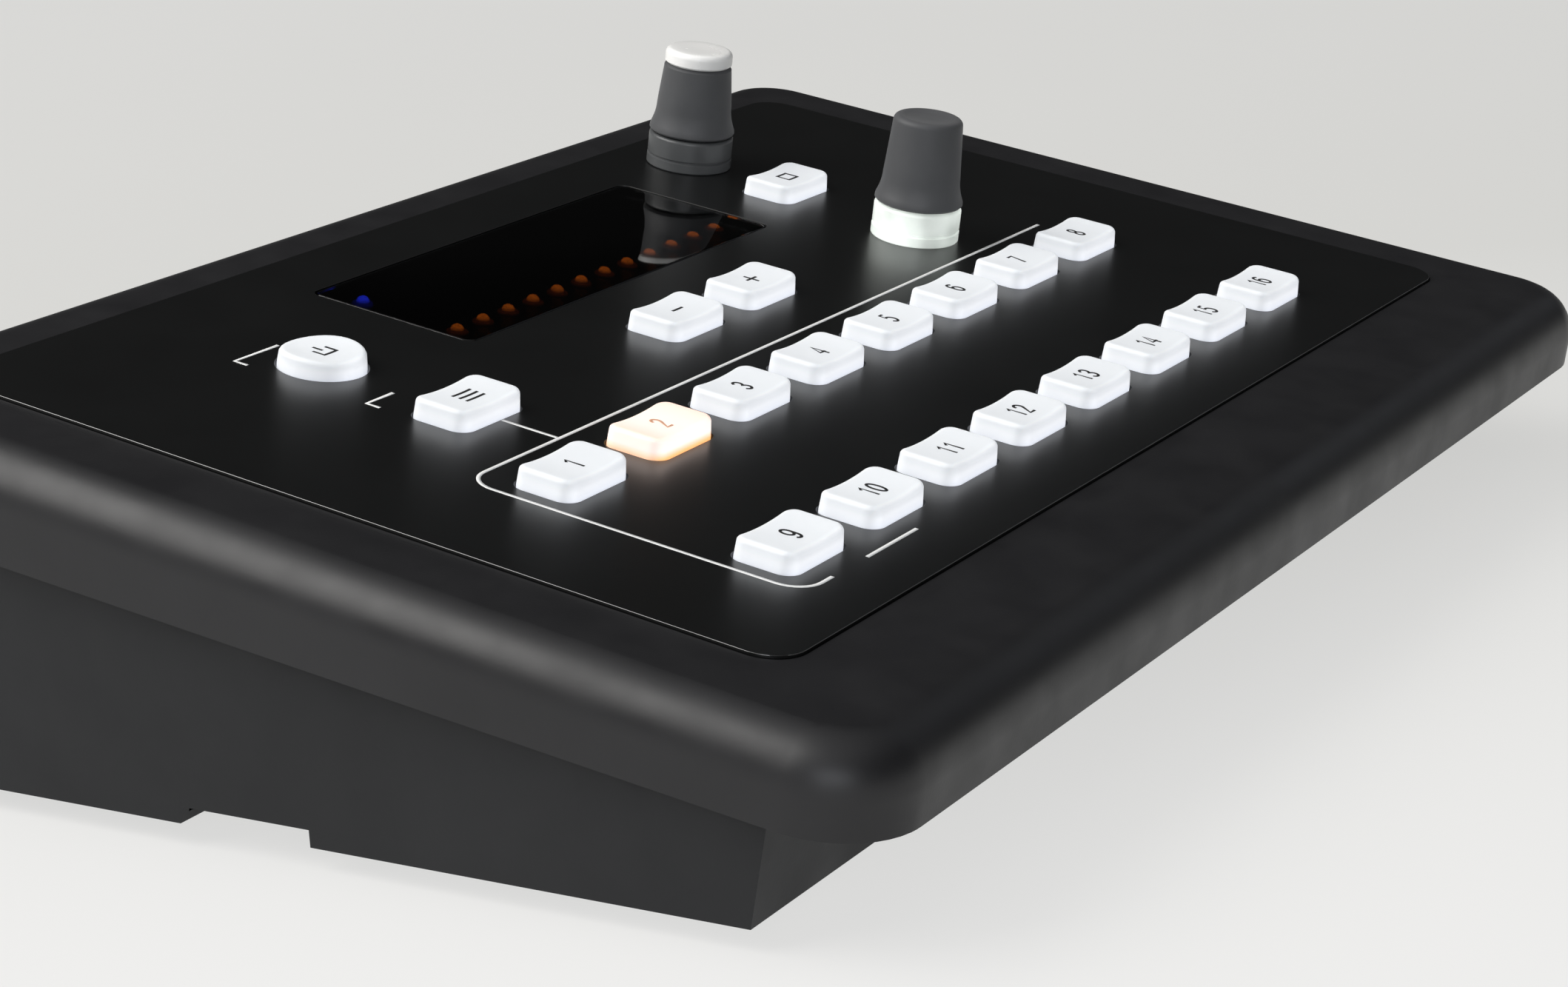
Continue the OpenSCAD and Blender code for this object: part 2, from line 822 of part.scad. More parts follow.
// Key with its stem, centred at the plate's face
module key(round = false) {
    roof = key_h - key_scoop - key_roof;
    difference() {
        union() {
            translate([0, 0, key_flange_bottom])
                linear_extrude(key_h - key_flange_bottom)
                    key_plan(round, 0);
            translate([0, 0, key_flange_bottom])
                linear_extrude(key_flange_t)
                    key_plan(round, key_gap + key_flange_w);
        }
        translate([0, 0, key_h - key_scoop + scoop_r])
            rotate([90, 0, 0])
                cylinder(r = scoop_r, h = 2 * key_w, center = true, $fn = 256);
        difference() {
            translate([0, 0, key_flange_bottom - 1])
                linear_extrude(roof - key_flange_bottom + 1)
                    key_plan(round, -key_wall);
            translate([0, 0, key_flange_bottom - 2])
                cylinder(r = key_stem_r, h = far);
        }
    }
    translate([0, 0, stem_tip])
        cylinder(r = key_stem_r, h = roof - stem_tip);
}

module key_plan(round, grow) {
    if (round)
        round_key_outline(grow);
    else
        rect_key_outline(grow);
}

module channel_key(i) {
    lit_key = 1;
    color(i == lit_key ? "#ffc39a" : "#f4f4f2")
        at_panel(channel_places[i])
            key();
}

module function_key(i) {
    color("#f4f4f2")
        at_panel(function_places[i])
            key(round = i == round_key_index);
}

module display_window() {
    color("#08090a")
        on_panel() {
            translate([0, 0, -plate_t - window_flange_t])
                linear_extrude(plate_t + window_flange_t)
                    window_outline(0);
            translate([0, 0, -plate_t - window_flange_t])
                linear_extrude(window_flange_t)
                    window_outline(window_lip);
        }
}

module meter_module() {
    color("#101112")
        at_panel([window_mid_x, window_v])
            block(
                [window_w - 2 * module_margin, window_d - 2 * module_margin, board_drop + module_top],
                [0, 0],
                -board_drop
            );
}

module meter_leds() {
    color("#d9621e")
        for (i = [0:lamp_count - 1])
            at_panel([first_lamp_x + i * lamp_pitch, window_v - lamp_row_v])
                translate([0, 0, module_top])
                    cylinder(r = lamp_r, h = lamp_h);
}

// Body and threaded bush of a rotary control
module control_body() {
    difference() {
        union() {
            block([control_w, control_w, board_drop + control_top], [0, 0], -board_drop);
            translate([0, 0, -board_drop + 1])
                cylinder(r = bush_r, h = board_drop - 1 + bush_h);
        }
        translate([0, 0, shaft_bottom - rest_gap])
            cylinder(r = shaft_r + running_gap, h = far);
    }
}

module control_shaft() {
    translate([0, 0, shaft_bottom])
        cylinder(r = shaft_r, h = shaft_top - shaft_bottom);
}

// Knob with a straight skirt and a tapered grip, bored for its shaft
module knob(top) {
    rotate_extrude()
        difference() {
            union() {
                polygon([
                    [0, knob_bottom],
                    [knob_base_r, knob_bottom],
                    [knob_base_r, knob_bottom + knob_skirt_h],
                    [knob_top_r, top - knob_edge_r],
                    [knob_top_r - knob_edge_r, top],
                    [0, top]
                ]);
            }
            translate([0, knob_bottom - 1])
                square([shaft_r + running_gap / 2, shaft_top - knob_bottom + 1 + running_gap]);
        }
}

module light_collar() {
    difference() {
        cylinder(r = knob_base_r, h = collar_h);
        translate([0, 0, -1])
            cylinder(r = knob_base_r - collar_wall, h = collar_h + 2);
    }
}

module level_encoder() {
    color("#5d6063")
        at_panel(level_place)
            control_body();
}

module level_shaft() {
    color("#b9bcc0")
        at_panel(level_place)
            control_shaft();
}

module level_knob() {
    color("#2b2c2e")
        at_panel(level_place)
            knob(knob_h);
}

module level_collar() {
    color("#f2f2ea")
        at_panel(level_place)
            light_collar();
}

module master_pot() {
    color("#5d6063")
        at_panel(master_place)
            control_body();
}

module master_shaft() {
    color("#b9bcc0")
        at_panel(master_place)
            control_shaft();
}

module master_knob() {
    color("#2b2c2e")
        at_panel(master_place)
            difference() {
                knob(knob_h - cap_t);
                translate([0, 0, knob_h - cap_t - cap_spigot_h - thread_gap])
                    cylinder(r = cap_spigot_r + thread_gap, h = far);
            }
}

module master_cap() {
    color("#eeeeec")
        at_panel(master_place)
            translate([0, 0, knob_h - cap_t]) {
                rotate_extrude()
                    polygon([
                        [0, 0],
                        [knob_top_r - knob_edge_r, 0],
                        [knob_top_r, knob_edge_r],
                        [knob_top_r, cap_t - knob_edge_r],
                        [knob_top_r - knob_edge_r, cap_t],
                        [0, cap_t]
                    ]);
                translate([0, 0, -cap_spigot_h])
                    cylinder(r = cap_spigot_r, h = cap_spigot_h + 1);
            }
}

module master_collar() {
    color("#8f9190")
        at_panel(master_place)
            light_collar();
}

module control_nuts() {
    color("#b9bcc0")
        for (place = control_places)
            at_panel(place)
                difference() {
                    cylinder(r = nut_dia / 2, h = nut_t, $fn = 6);
                    translate([0, 0, -1])
                        cylinder(r = bush_r + thread_gap, h = nut_t + 2);
                }
}

module main_board() {
    color("#1e4a2e")
        difference() {
            block(
                [main_board_w, main_board_d, board_t],
                [0, (main_board_front + main_board_back) / 2],
                main_board_z
            );
            for (place = main_standoff_places)
                translate([place[0], place[1], main_board_z - 1])
                    cylinder(r = screw_r + slip_gap, h = board_t + 2);
        }
}

module main_standoffs() {
    color("#b9bcc0")
        for (place = main_standoff_places)
            translate([place[0], place[1], floor_z])
                difference() {
                    cylinder(r = standoff_r, h = main_board_h);
                    translate([0, 0, main_board_h - board_screw_reach - 1])
                        cylinder(r = screw_r + thread_gap, h = far);
                }
}

module main_board_screws() {
    color("#b9bcc0")
        for (place = main_standoff_places)
            translate([place[0], place[1], main_board_top])
                rotate([180, 0, 0])
                    screw(board_t + board_screw_reach);
}

module network_sockets() {
    color("#9a9da0")
        for (x = network_x)
            difference() {
                block([network_w, network_d, network_h], [x, socket_face - network_d / 2], main_board_top);
                block(
                    [network_port_w, 2 * network_port_d, network_port_h],
                    [x, socket_face],
                    main_board_top + (network_h - network_port_h) / 2
                );
            }
}

module headphone_jack() {
    front = rear_front - slip_gap;
    color("#232427")
        difference() {
            union() {
                block(jack_body, [jack_x, front - jack_body[1] / 2], main_board_top);
                translate([jack_x, front - 1, jack_z])
                    rotate([-90, 0, 0])
                        cylinder(r = jack_bush_r, h = chassis_t + slip_gap + jack_bush_len + 1);
            }
            translate([jack_x, chassis_back + jack_bush_len - jack_bore_d, jack_z])
                rotate([-90, 0, 0])
                    cylinder(r = jack_bore_r, h = jack_bore_d + 1);
        }
}

module mini_jack() {
    front = rear_front - slip_gap;
    color("#232427")
        difference() {
            union() {
                block(mini_body, [mini_jack_x, front - mini_body[1] / 2], main_board_top);
                translate([mini_jack_x, front - 1, mini_z])
                    rotate([-90, 0, 0])
                        cylinder(r = mini_barrel_r, h = mini_barrel_len + slip_gap + 1);
            }
            translate([mini_jack_x, front + mini_barrel_len + slip_gap - mini_bore_d, mini_z])
                rotate([-90, 0, 0])
                    cylinder(r = mini_bore_r, h = mini_bore_d + 1);
        }
}

module usb_socket() {
    color("#c2c5c8") {
        difference() {
            block(usb_body, [usb_x, socket_face - usb_body[1] / 2], main_board_top);
            block(
                [usb_port[0], 2 * usb_port[1], usb_port[2]],
                [usb_x, socket_face],
                main_board_top + (usb_body[2] - usb_port[2]) / 2
            );
        }
        block(
            [usb_tongue[0], usb_tongue[1] + 1, usb_tongue[2]],
            [usb_x, socket_face - usb_port[1] - 1 + (usb_tongue[1] + 1) / 2],
            main_board_top + (usb_body[2] - usb_tongue[2]) / 2
        );
    }
}

module dc_inlet() {
    color("#1a1a1c")
        difference() {
            block(dc_body, [dc_x, socket_face - dc_body[1] / 2], main_board_top);
            translate([dc_x, socket_face - dc_bore_d, dc_z])
                rotate([-90, 0, 0])
                    difference() {
                        cylinder(r = dc_bore_r, h = dc_bore_d + 1);
                        translate([0, 0, -1])
                            cylinder(r = dc_pin_r, h = dc_bore_d);
                    }
        }
}

module jack_nut() {
    color("#8d8f92")
        translate([jack_x, chassis_back, jack_z])
            rotate([-90, 0, 0])
                difference() {
                    cylinder(r = jack_nut_dia / 2, h = jack_nut_t, $fn = 6);
                    translate([0, 0, -1])
                        cylinder(r = jack_bush_r + thread_gap, h = jack_nut_t + 2);
                }
}

module power_module() {
    color("#17181a")
        block(
            [power_w, power_d, power_h],
            [power_x, main_board_front + power_front_gap + power_d / 2],
            main_board_top
        );
}

module link_headers() {
    color("#202124") {
        block([header_w, header_d, header_h], [ribbon_x, ribbon_y], main_board_top);
        on_panel()
            block([header_w, header_d, header_h], [ribbon_x, link_v()], board_bottom - header_h);
    }
}

// Place along the slope of the upper header, above the lower one
function link_v() =
    (ribbon_y - panel_y + (board_bottom - header_h) * tilt_sin) / tilt_cos;

module ribbon_cable() {
    bottom = main_board_top + header_h;
    top = panel_height(ribbon_y, board_bottom - header_h);
    color("#9b9ea3")
        difference() {
            block([ribbon_w, ribbon_t, top - bottom + ribbon_bite], [ribbon_x, ribbon_y], bottom);
            on_panel()
                translate([-far / 2, -far / 2, board_bottom - header_h])
                    cube(far);
        }
}

top_plate();
rim_frame();
chassis_tray();
rear_panel();
stand_bush();
rubber_feet();
case_screws();
rear_panel_screws();
control_board();
control_standoffs();
control_board_screws();
key_switches();
key_leds();
display_window();
meter_module();
meter_leds();
level_encoder();
level_shaft();
level_knob();
level_collar();
master_pot();
master_shaft();
master_knob();
master_cap();
master_collar();
control_nuts();
main_board();
main_standoffs();
main_board_screws();
network_sockets();
headphone_jack();
mini_jack();
usb_socket();
dc_inlet();
jack_nut();
power_module();
link_headers();
ribbon_cable();
for (i = [0:channel_count - 1]) channel_key(i);
for (i = [0:len(function_names) - 1]) function_key(i);
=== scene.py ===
"""Looks of a personal monitor mixer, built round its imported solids.

Panel pieces are drawn in millimetres in the panel's own axes (x to the right, v up the slope from the
plate's front edge, n out of the plate's face) and then set in the part's frame, in metres.
"""

from __future__ import annotations

import json
import logging
import math
from dataclasses import dataclass, field
from enum import Enum
from typing import Any, Iterable, Sequence

import bmesh
import bpy
from mathutils import Matrix, Vector

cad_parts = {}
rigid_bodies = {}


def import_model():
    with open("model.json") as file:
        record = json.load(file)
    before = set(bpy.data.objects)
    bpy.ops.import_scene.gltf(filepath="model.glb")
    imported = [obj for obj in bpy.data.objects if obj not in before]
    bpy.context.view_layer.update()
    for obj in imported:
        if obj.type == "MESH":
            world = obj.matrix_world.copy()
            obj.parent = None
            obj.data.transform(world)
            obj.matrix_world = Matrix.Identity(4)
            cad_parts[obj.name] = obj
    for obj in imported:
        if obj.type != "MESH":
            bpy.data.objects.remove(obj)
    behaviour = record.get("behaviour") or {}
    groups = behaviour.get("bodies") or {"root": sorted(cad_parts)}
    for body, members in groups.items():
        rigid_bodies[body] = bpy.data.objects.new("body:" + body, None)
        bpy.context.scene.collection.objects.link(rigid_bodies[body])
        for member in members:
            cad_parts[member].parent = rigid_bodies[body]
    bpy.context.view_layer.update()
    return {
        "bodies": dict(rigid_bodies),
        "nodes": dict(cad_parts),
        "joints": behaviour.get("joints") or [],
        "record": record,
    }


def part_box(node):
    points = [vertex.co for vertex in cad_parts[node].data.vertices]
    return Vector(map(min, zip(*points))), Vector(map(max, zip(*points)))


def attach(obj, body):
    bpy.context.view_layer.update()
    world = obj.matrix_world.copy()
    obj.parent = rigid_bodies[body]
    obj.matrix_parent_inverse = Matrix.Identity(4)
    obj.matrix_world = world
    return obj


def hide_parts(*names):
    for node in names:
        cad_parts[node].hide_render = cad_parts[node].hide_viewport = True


LOG = logging.getLogger("monitor_mixer")
MM = 0.001
# Seed of the angles at which the screws stopped.
SCREW_SEED = 11
# Corner points nearer than this, in metres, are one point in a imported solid.
MERGE_M = 2e-6
# Faces that meet at less than the first angle are one flat, edges sharper than the second are rounded, and
# edges sharper than the third are shaded as creases.
FLAT_DEG, SHARP_DEG, CREASE_DEG = 0.5, 38.0, 34.0
# Values between which a noise texture mostly lies, and between which a soft patch fades.
NOISE_SPAN = (0.3, 0.7)
PATCH_SPAN = (0.36, 0.64)
# Translucent rubber passes red light a little further than blue.
SCATTER_WEIGHT = 0.35
SCATTER_REACH = (1.0, 0.95, 0.88)

Spot = tuple[float, float]
Point = tuple[float, float, float]
Ring = list[Point]
Colour = tuple[float, float, float, float]
Tree = bpy.types.NodeTree
Node = bpy.types.Node
Socket = bpy.types.NodeSocket
Mesh = bpy.types.Mesh
Piece = bpy.types.Object
Shell = bmesh.types.BMesh


def linear(code: str) -> Colour:
    """Turn an sRGB colour into linear light.

    Args:
        code: Six hex digits.

    Returns:
        Linear red, green and blue, and full opacity.
    """
    parts = [int(code[i : i + 2], 16) / 255 for i in (0, 2, 4)]
    red, green, blue = (c / 12.92 if c <= 0.04045 else ((c + 0.055) / 1.055) ** 2.4 for c in parts)
    return red, green, blue, 1.0


def add_node(
    tree: Tree,
    kind: str,
    inputs: dict[str | int, Any] | None = None,
    stops: Sequence[tuple[float, Colour]] = (),
    **settings: Any,
) -> Node:
    """Add a node to a tree, set it up and link it.

    Args:
        tree: Shader or geometry tree.
        kind: Blender's name of the node's type.
        inputs: Values, sockets, or nodes for their first output, by input name or index.
        stops: Place and colour of each stop of a ramp, from low to high.
        **settings: Properties to set on the node.

    Returns:
        The new node.
    """
    node = tree.nodes.new(kind)
    for key, value in settings.items():
        setattr(node, key, value)
    for number, (place, colour) in enumerate(stops):
        ramp = node.color_ramp.elements
        stop = ramp[number] if number < len(ramp) else ramp.new(place)
        stop.position, stop.color = place, colour
    for key, value in (inputs or {}).items():
        source = value.outputs[0] if isinstance(value, Node) else value
        if isinstance(source, Socket):
            tree.links.new(source, node.inputs[key])
        else:
            node.inputs[key].default_value = source
    return node


def per_mm(size_mm: float) -> float:
    """Give the texture scale at which one cell is size_mm wide."""
    return 1.0 / (size_mm * MM)


@dataclass(frozen=True)
class Grained:
    """A surface of one colour that drifts a little, over a fine grain.

    Attributes:
        name: The real material and how its surface was made.
        slot: Material slot of the record that it stands for.
        colour: Main colour, sRGB hex like every colour here.
        drift: Colour that it wanders to in soft patches.
        roughness: Mean roughness.
        grain_mm: Width of one grain.
        relief_mm: Height of the grain.
        swing: How far the roughness wanders.
        patch_mm: Width of one patch of the drift.
        stretch: Stretch of the grain along each axis.
        metallic: 1 for bare metal.
        ior: Index of refraction; bare metal keeps 1.5.
        coat: Weight of a clear coat.
        coat_roughness: Roughness of that coat.
        sheen: Weight of a soft-touch sheen.
        scatter_mm: Depth to which light goes into a translucent material.
        transmission: Share of light that passes through.
        glow: Colour of its own light, or empty.
        glow_strength: Strength of that light.
    """

    name: str
    slot: str
    colour: str
    drift: str
    roughness: float
    grain_mm: float
    relief_mm: float
    swing: float = 0.06
    patch_mm: float = 14.0
    stretch: Point = (1.0, 1.0, 1.0)
    metallic: float = 0.0
    ior: float = 1.5
    coat: float = 0.0
    coat_roughness: float = 0.1
    sheen: float = 0.0
    scatter_mm: float = 0.0
    transmission: float = 0.0
    glow: str = ""
    glow_strength: float = 0.0

    def build(self) -> bpy.types.Material:
        """Make the material.

        Returns:
            The finished material.
        """
        material = bpy.data.materials.new(self.name)
        material.use_nodes = True
        tree = material.node_tree
        tree.nodes.clear()
        place = add_node(tree, "ShaderNodeTexCoord").outputs["Object"]
        colour, height = self.pattern(tree, place)
        wander = {"Vector": place, "Scale": per_mm(self.patch_mm * 0.4), "Detail": 4.0}
        rough = {
            "Value": add_node(tree, "ShaderNodeTexNoise", wander),
            "From Min": NOISE_SPAN[0],
            "From Max": NOISE_SPAN[1],
            "To Min": max(self.roughness - self.swing, 0.02),
            "To Max": min(self.roughness + self.swing, 1.0),
        }
        relief = {"Strength": 1.0, "Distance": self.relief_mm * MM, "Height": height}
        inputs = {
            "Base Color": colour,
            "Roughness": add_node(tree, "ShaderNodeMapRange", rough),
            "Normal": add_node(tree, "ShaderNodeBump", relief),
            "Metallic": self.metallic,
            "IOR": self.ior,
            "Coat Weight": self.coat,
            "Coat Roughness": self.coat_roughness,
            "Sheen Weight": self.sheen,
            "Transmission Weight": self.transmission,
            **self.light(tree, place),
        }
        if self.scatter_mm:
            inputs["Subsurface Weight"] = SCATTER_WEIGHT
            inputs["Subsurface Radius"] = SCATTER_REACH
            inputs["Subsurface Scale"] = self.scatter_mm * MM
        shader = add_node(tree, "ShaderNodeBsdfPrincipled", inputs)
        add_node(tree, "ShaderNodeOutputMaterial", {"Surface": self.surface(tree, place, shader)})
        return material

    def pattern(self, tree: Tree, place: Socket) -> tuple[Node | Socket, Node | Socket]:
        """Draw the colour and the grain.

        Args:
            tree: The material's tree.
            place: The piece's own coordinates.

        Returns:
            Sources of the colour and of the grain's height.
        """
        drift = {"Vector": place, "Scale": per_mm(self.patch_mm), "Detail": 5.0, "Roughness": 0.6}
        drifting = add_node(tree, "ShaderNodeTexNoise", drift)
        tones = tuple(zip(PATCH_SPAN, (linear(self.colour), linear(self.drift))))
        colour = add_node(tree, "ShaderNodeValToRGB", {0: drifting}, tones)
        turned = add_node(tree, "ShaderNodeMapping", {"Vector": place, "Scale": self.stretch})
        grain = {"Vector": turned, "Scale": per_mm(self.grain_mm), "Detail": 2.0, "Roughness": 0.5}
        return colour, add_node(tree, "ShaderNodeTexNoise", grain)

    def light(self, tree: Tree, place: Socket) -> dict[str, Any]:
        """Set up its own light.

        Args:
            tree: The material's tree; not used here.
            place: The piece's own coordinates; not used here.

        Returns:
            Inputs of the shader, none where it has no light.
        """
        if not self.glow:
            return {}
        return {"Emission Color": linear(self.glow), "Emission Strength": self.glow_strength}

    def surface(self, tree: Tree, place: Socket, shader: Node) -> Node:
        """Give what shows of the surface, on most finishes the shader alone."""
        return shader


@dataclass(frozen=True)
class Glowing(Grained):
    """A grained, translucent surface whose own light changes with height over the panel.

    Attributes:
        low_glow: Colour of its light at the foot.
        wall_glow: Colour of its light on the side walls; glow is the colour on top.
        end_glow: Colour of its light at the raised ends, or empty for the top's own.
        near_gain: How much stronger the light is on the front wall: painted light that evens out the shading
            there.
    """

    low_glow: str = "ffffff"
    wall_glow: str = "ffffff"
    end_glow: str = ""
    near_gain: float = 0.0

    def light(self, tree: Tree, place: Socket) -> dict[str, Any]:
        """Run the light from the foot's colour, over the wall's, to the top's.

        Args:
            tree: The material's tree.
            place: The piece's own coordinates; not used here.

        Returns:
            Inputs of the shader.
        """
        height, near = (
            add_node(tree, "ShaderNodeAttribute", attribute_name=name).outputs["Fac"]
            for name in ("height", "painted_front_light")
        )
        tones = [(0.02, self.low_glow), (0.36, self.wall_glow), (0.8, self.glow), (0.97, self.end_glow)]
        stops = [(share, linear(tone)) for share, tone in tones if tone]
        # On a key, its light grows towards the front wall: painted light that evens out the shading there.
        top_strength = self.glow_strength * (1.0 + self.near_gain)
        level = {"Value": near, "To Min": self.glow_strength, "To Max": top_strength}
        return {
            "Emission Color": add_node(tree, "ShaderNodeValToRGB", {0: height}, stops),
            "Emission Strength": add_node(tree, "ShaderNodeMapRange", level),
        }


@dataclass(frozen=True)
class Patchy(Grained):
    """A clear surface over separate lamps, so that its own light comes in patches.

    Attributes:
        dim_share: Share of the light that is left between two lamps.
    """

    dim_share: float = 0.35

    def light(self, tree: Tree, place: Socket) -> dict[str, Any]:
        """Let the light rise and fall from patch to patch.

        Args:
            tree: The material's tree.
            place: The piece's own coordinates.

        Returns:
            Inputs of the shader.
        """
        patches = {"Vector": place, "Scale": per_mm(self.patch_mm), "Detail": 1.0}
        level = {
            "Value": add_node(tree, "ShaderNodeTexNoise", patches),
            "From Min": PATCH_SPAN[0],
            "From Max": PATCH_SPAN[1],
            "To Min": self.glow_strength * self.dim_share,
            "To Max": self.glow_strength,
        }
        strength = add_node(tree, "ShaderNodeMapRange", level)
        return {"Emission Color": linear(self.glow), "Emission Strength": strength}


@dataclass(frozen=True)
class Tracked(Grained):
    """A circuit board: copper tracks that show through the solder mask.

    Attributes:
        gap: Colour between the tracks.
    """

    gap: str = "0d2f1c"

    def pattern(self, tree: Tree, place: Socket) -> tuple[Node | Socket, Node | Socket]:
        """Draw the tracks as a brick bond of long thin bars.

        Args:
            tree: The material's tree.
            place: The piece's own coordinates.

        Returns:
            Sources of the colour and of the tracks' height.
        """
        bond = {
            "Vector": place,
            "Color1": linear(self.colour),
            "Color2": linear(self.drift),
            "Mortar": linear(self.gap),
            "Scale": per_mm(self.grain_mm),
            "Mortar Size": 0.05,
            "Brick Width": 6.0,
            "Row Height": 1.0,
        }
        tracks = add_node(tree, "ShaderNodeTexBrick", bond, offset=0.37, squash=1.6).outputs
        return tracks["Color"], tracks["Fac"]


@dataclass(frozen=True)
class Striped(Grained):
    """A flat cable of side-by-side cores, with a band for each core."""

    def pattern(self, tree: Tree, place: Socket) -> tuple[Node | Socket, Node | Socket]:
        """Draw a band for each core.

        Args:
            tree: The material's tree.
            place: The piece's own coordinates.

        Returns:
            Sources of the colour and of the cores' height.
        """
        wave = {"Vector": place, "Scale": per_mm(self.grain_mm) / 6.0, "Distortion": 0.0}
        bands = add_node(tree, "ShaderNodeTexWave", wave, wave_type="BANDS", bands_direction="X")
        height = bands.outputs["Fac"]
        tones = ((0.0, linear(self.drift)), (1.0, linear(self.colour)))
        return add_node(tree, "ShaderNodeValToRGB", {0: height}, tones), height


@dataclass(frozen=True)
class Paper(Grained):
    """Floor paper that looks paler near the camera and keeps a soft shadow.

    Attributes:
        ahead: Way that the camera looks along the floor.
        pale_share: Share of its look that no shadow reaches.
        span_m: Places along that way between which its tone changes, in metres.
        tones: Its tone at shares of that span, paler near the camera and darker further back: painted light.
    """

    ahead: Point = (0.0, 1.0, 0.0)
    pale_share: float = 0.78
    span_m: Spot = (-0.15, 0.65)
    tones: tuple[tuple[float, str], ...] = ((0.0, "f3f3f2"), (0.45, "d6d6d3"), (1.0, "dadad8"))

    def surface(self, tree: Tree, place: Socket, shader: Node) -> Node:
        """Mix the lit paper with the pale tone that the camera, gloss and glass see.

        Args:
            tree: The material's tree.
            place: The floor's own coordinates.
            shader: Shader of the lit paper.

        Returns:
            The mixed shader.
        """
        along = add_node(tree, "ShaderNodeVectorMath", {0: place, 1: self.ahead}, operation="DOT_PRODUCT")
        near, far = self.span_m
        span = {"Value": along.outputs["Value"], "From Min": near, "From Max": far}
        reach = add_node(tree, "ShaderNodeMapRange", span)
        stops = [(share, linear(tone)) for share, tone in self.tones]
        # Painted light: the camera sees the paper paler near the front and darker further back.
        tone = add_node(tree, "ShaderNodeValToRGB", {0: reach}, stops)
        pale = add_node(tree, "ShaderNodeEmission", {"Color": tone, "Strength": 1.0})
        rays = add_node(tree, "ShaderNodeLightPath").outputs
        seen = rays["Is Camera Ray"]
        for name in ("Is Glossy Ray", "Is Transmission Ray"):
            seen = add_node(tree, "ShaderNodeMath", {0: seen, 1: rays[name]}, operation="ADD", use_clamp=True)
        share = add_node(tree, "ShaderNodeMath", {0: seen, 1: self.pale_share}, operation="MULTIPLY")
        return add_node(tree, "ShaderNodeMixShader", {0: share, 1: shader, 2: pale})


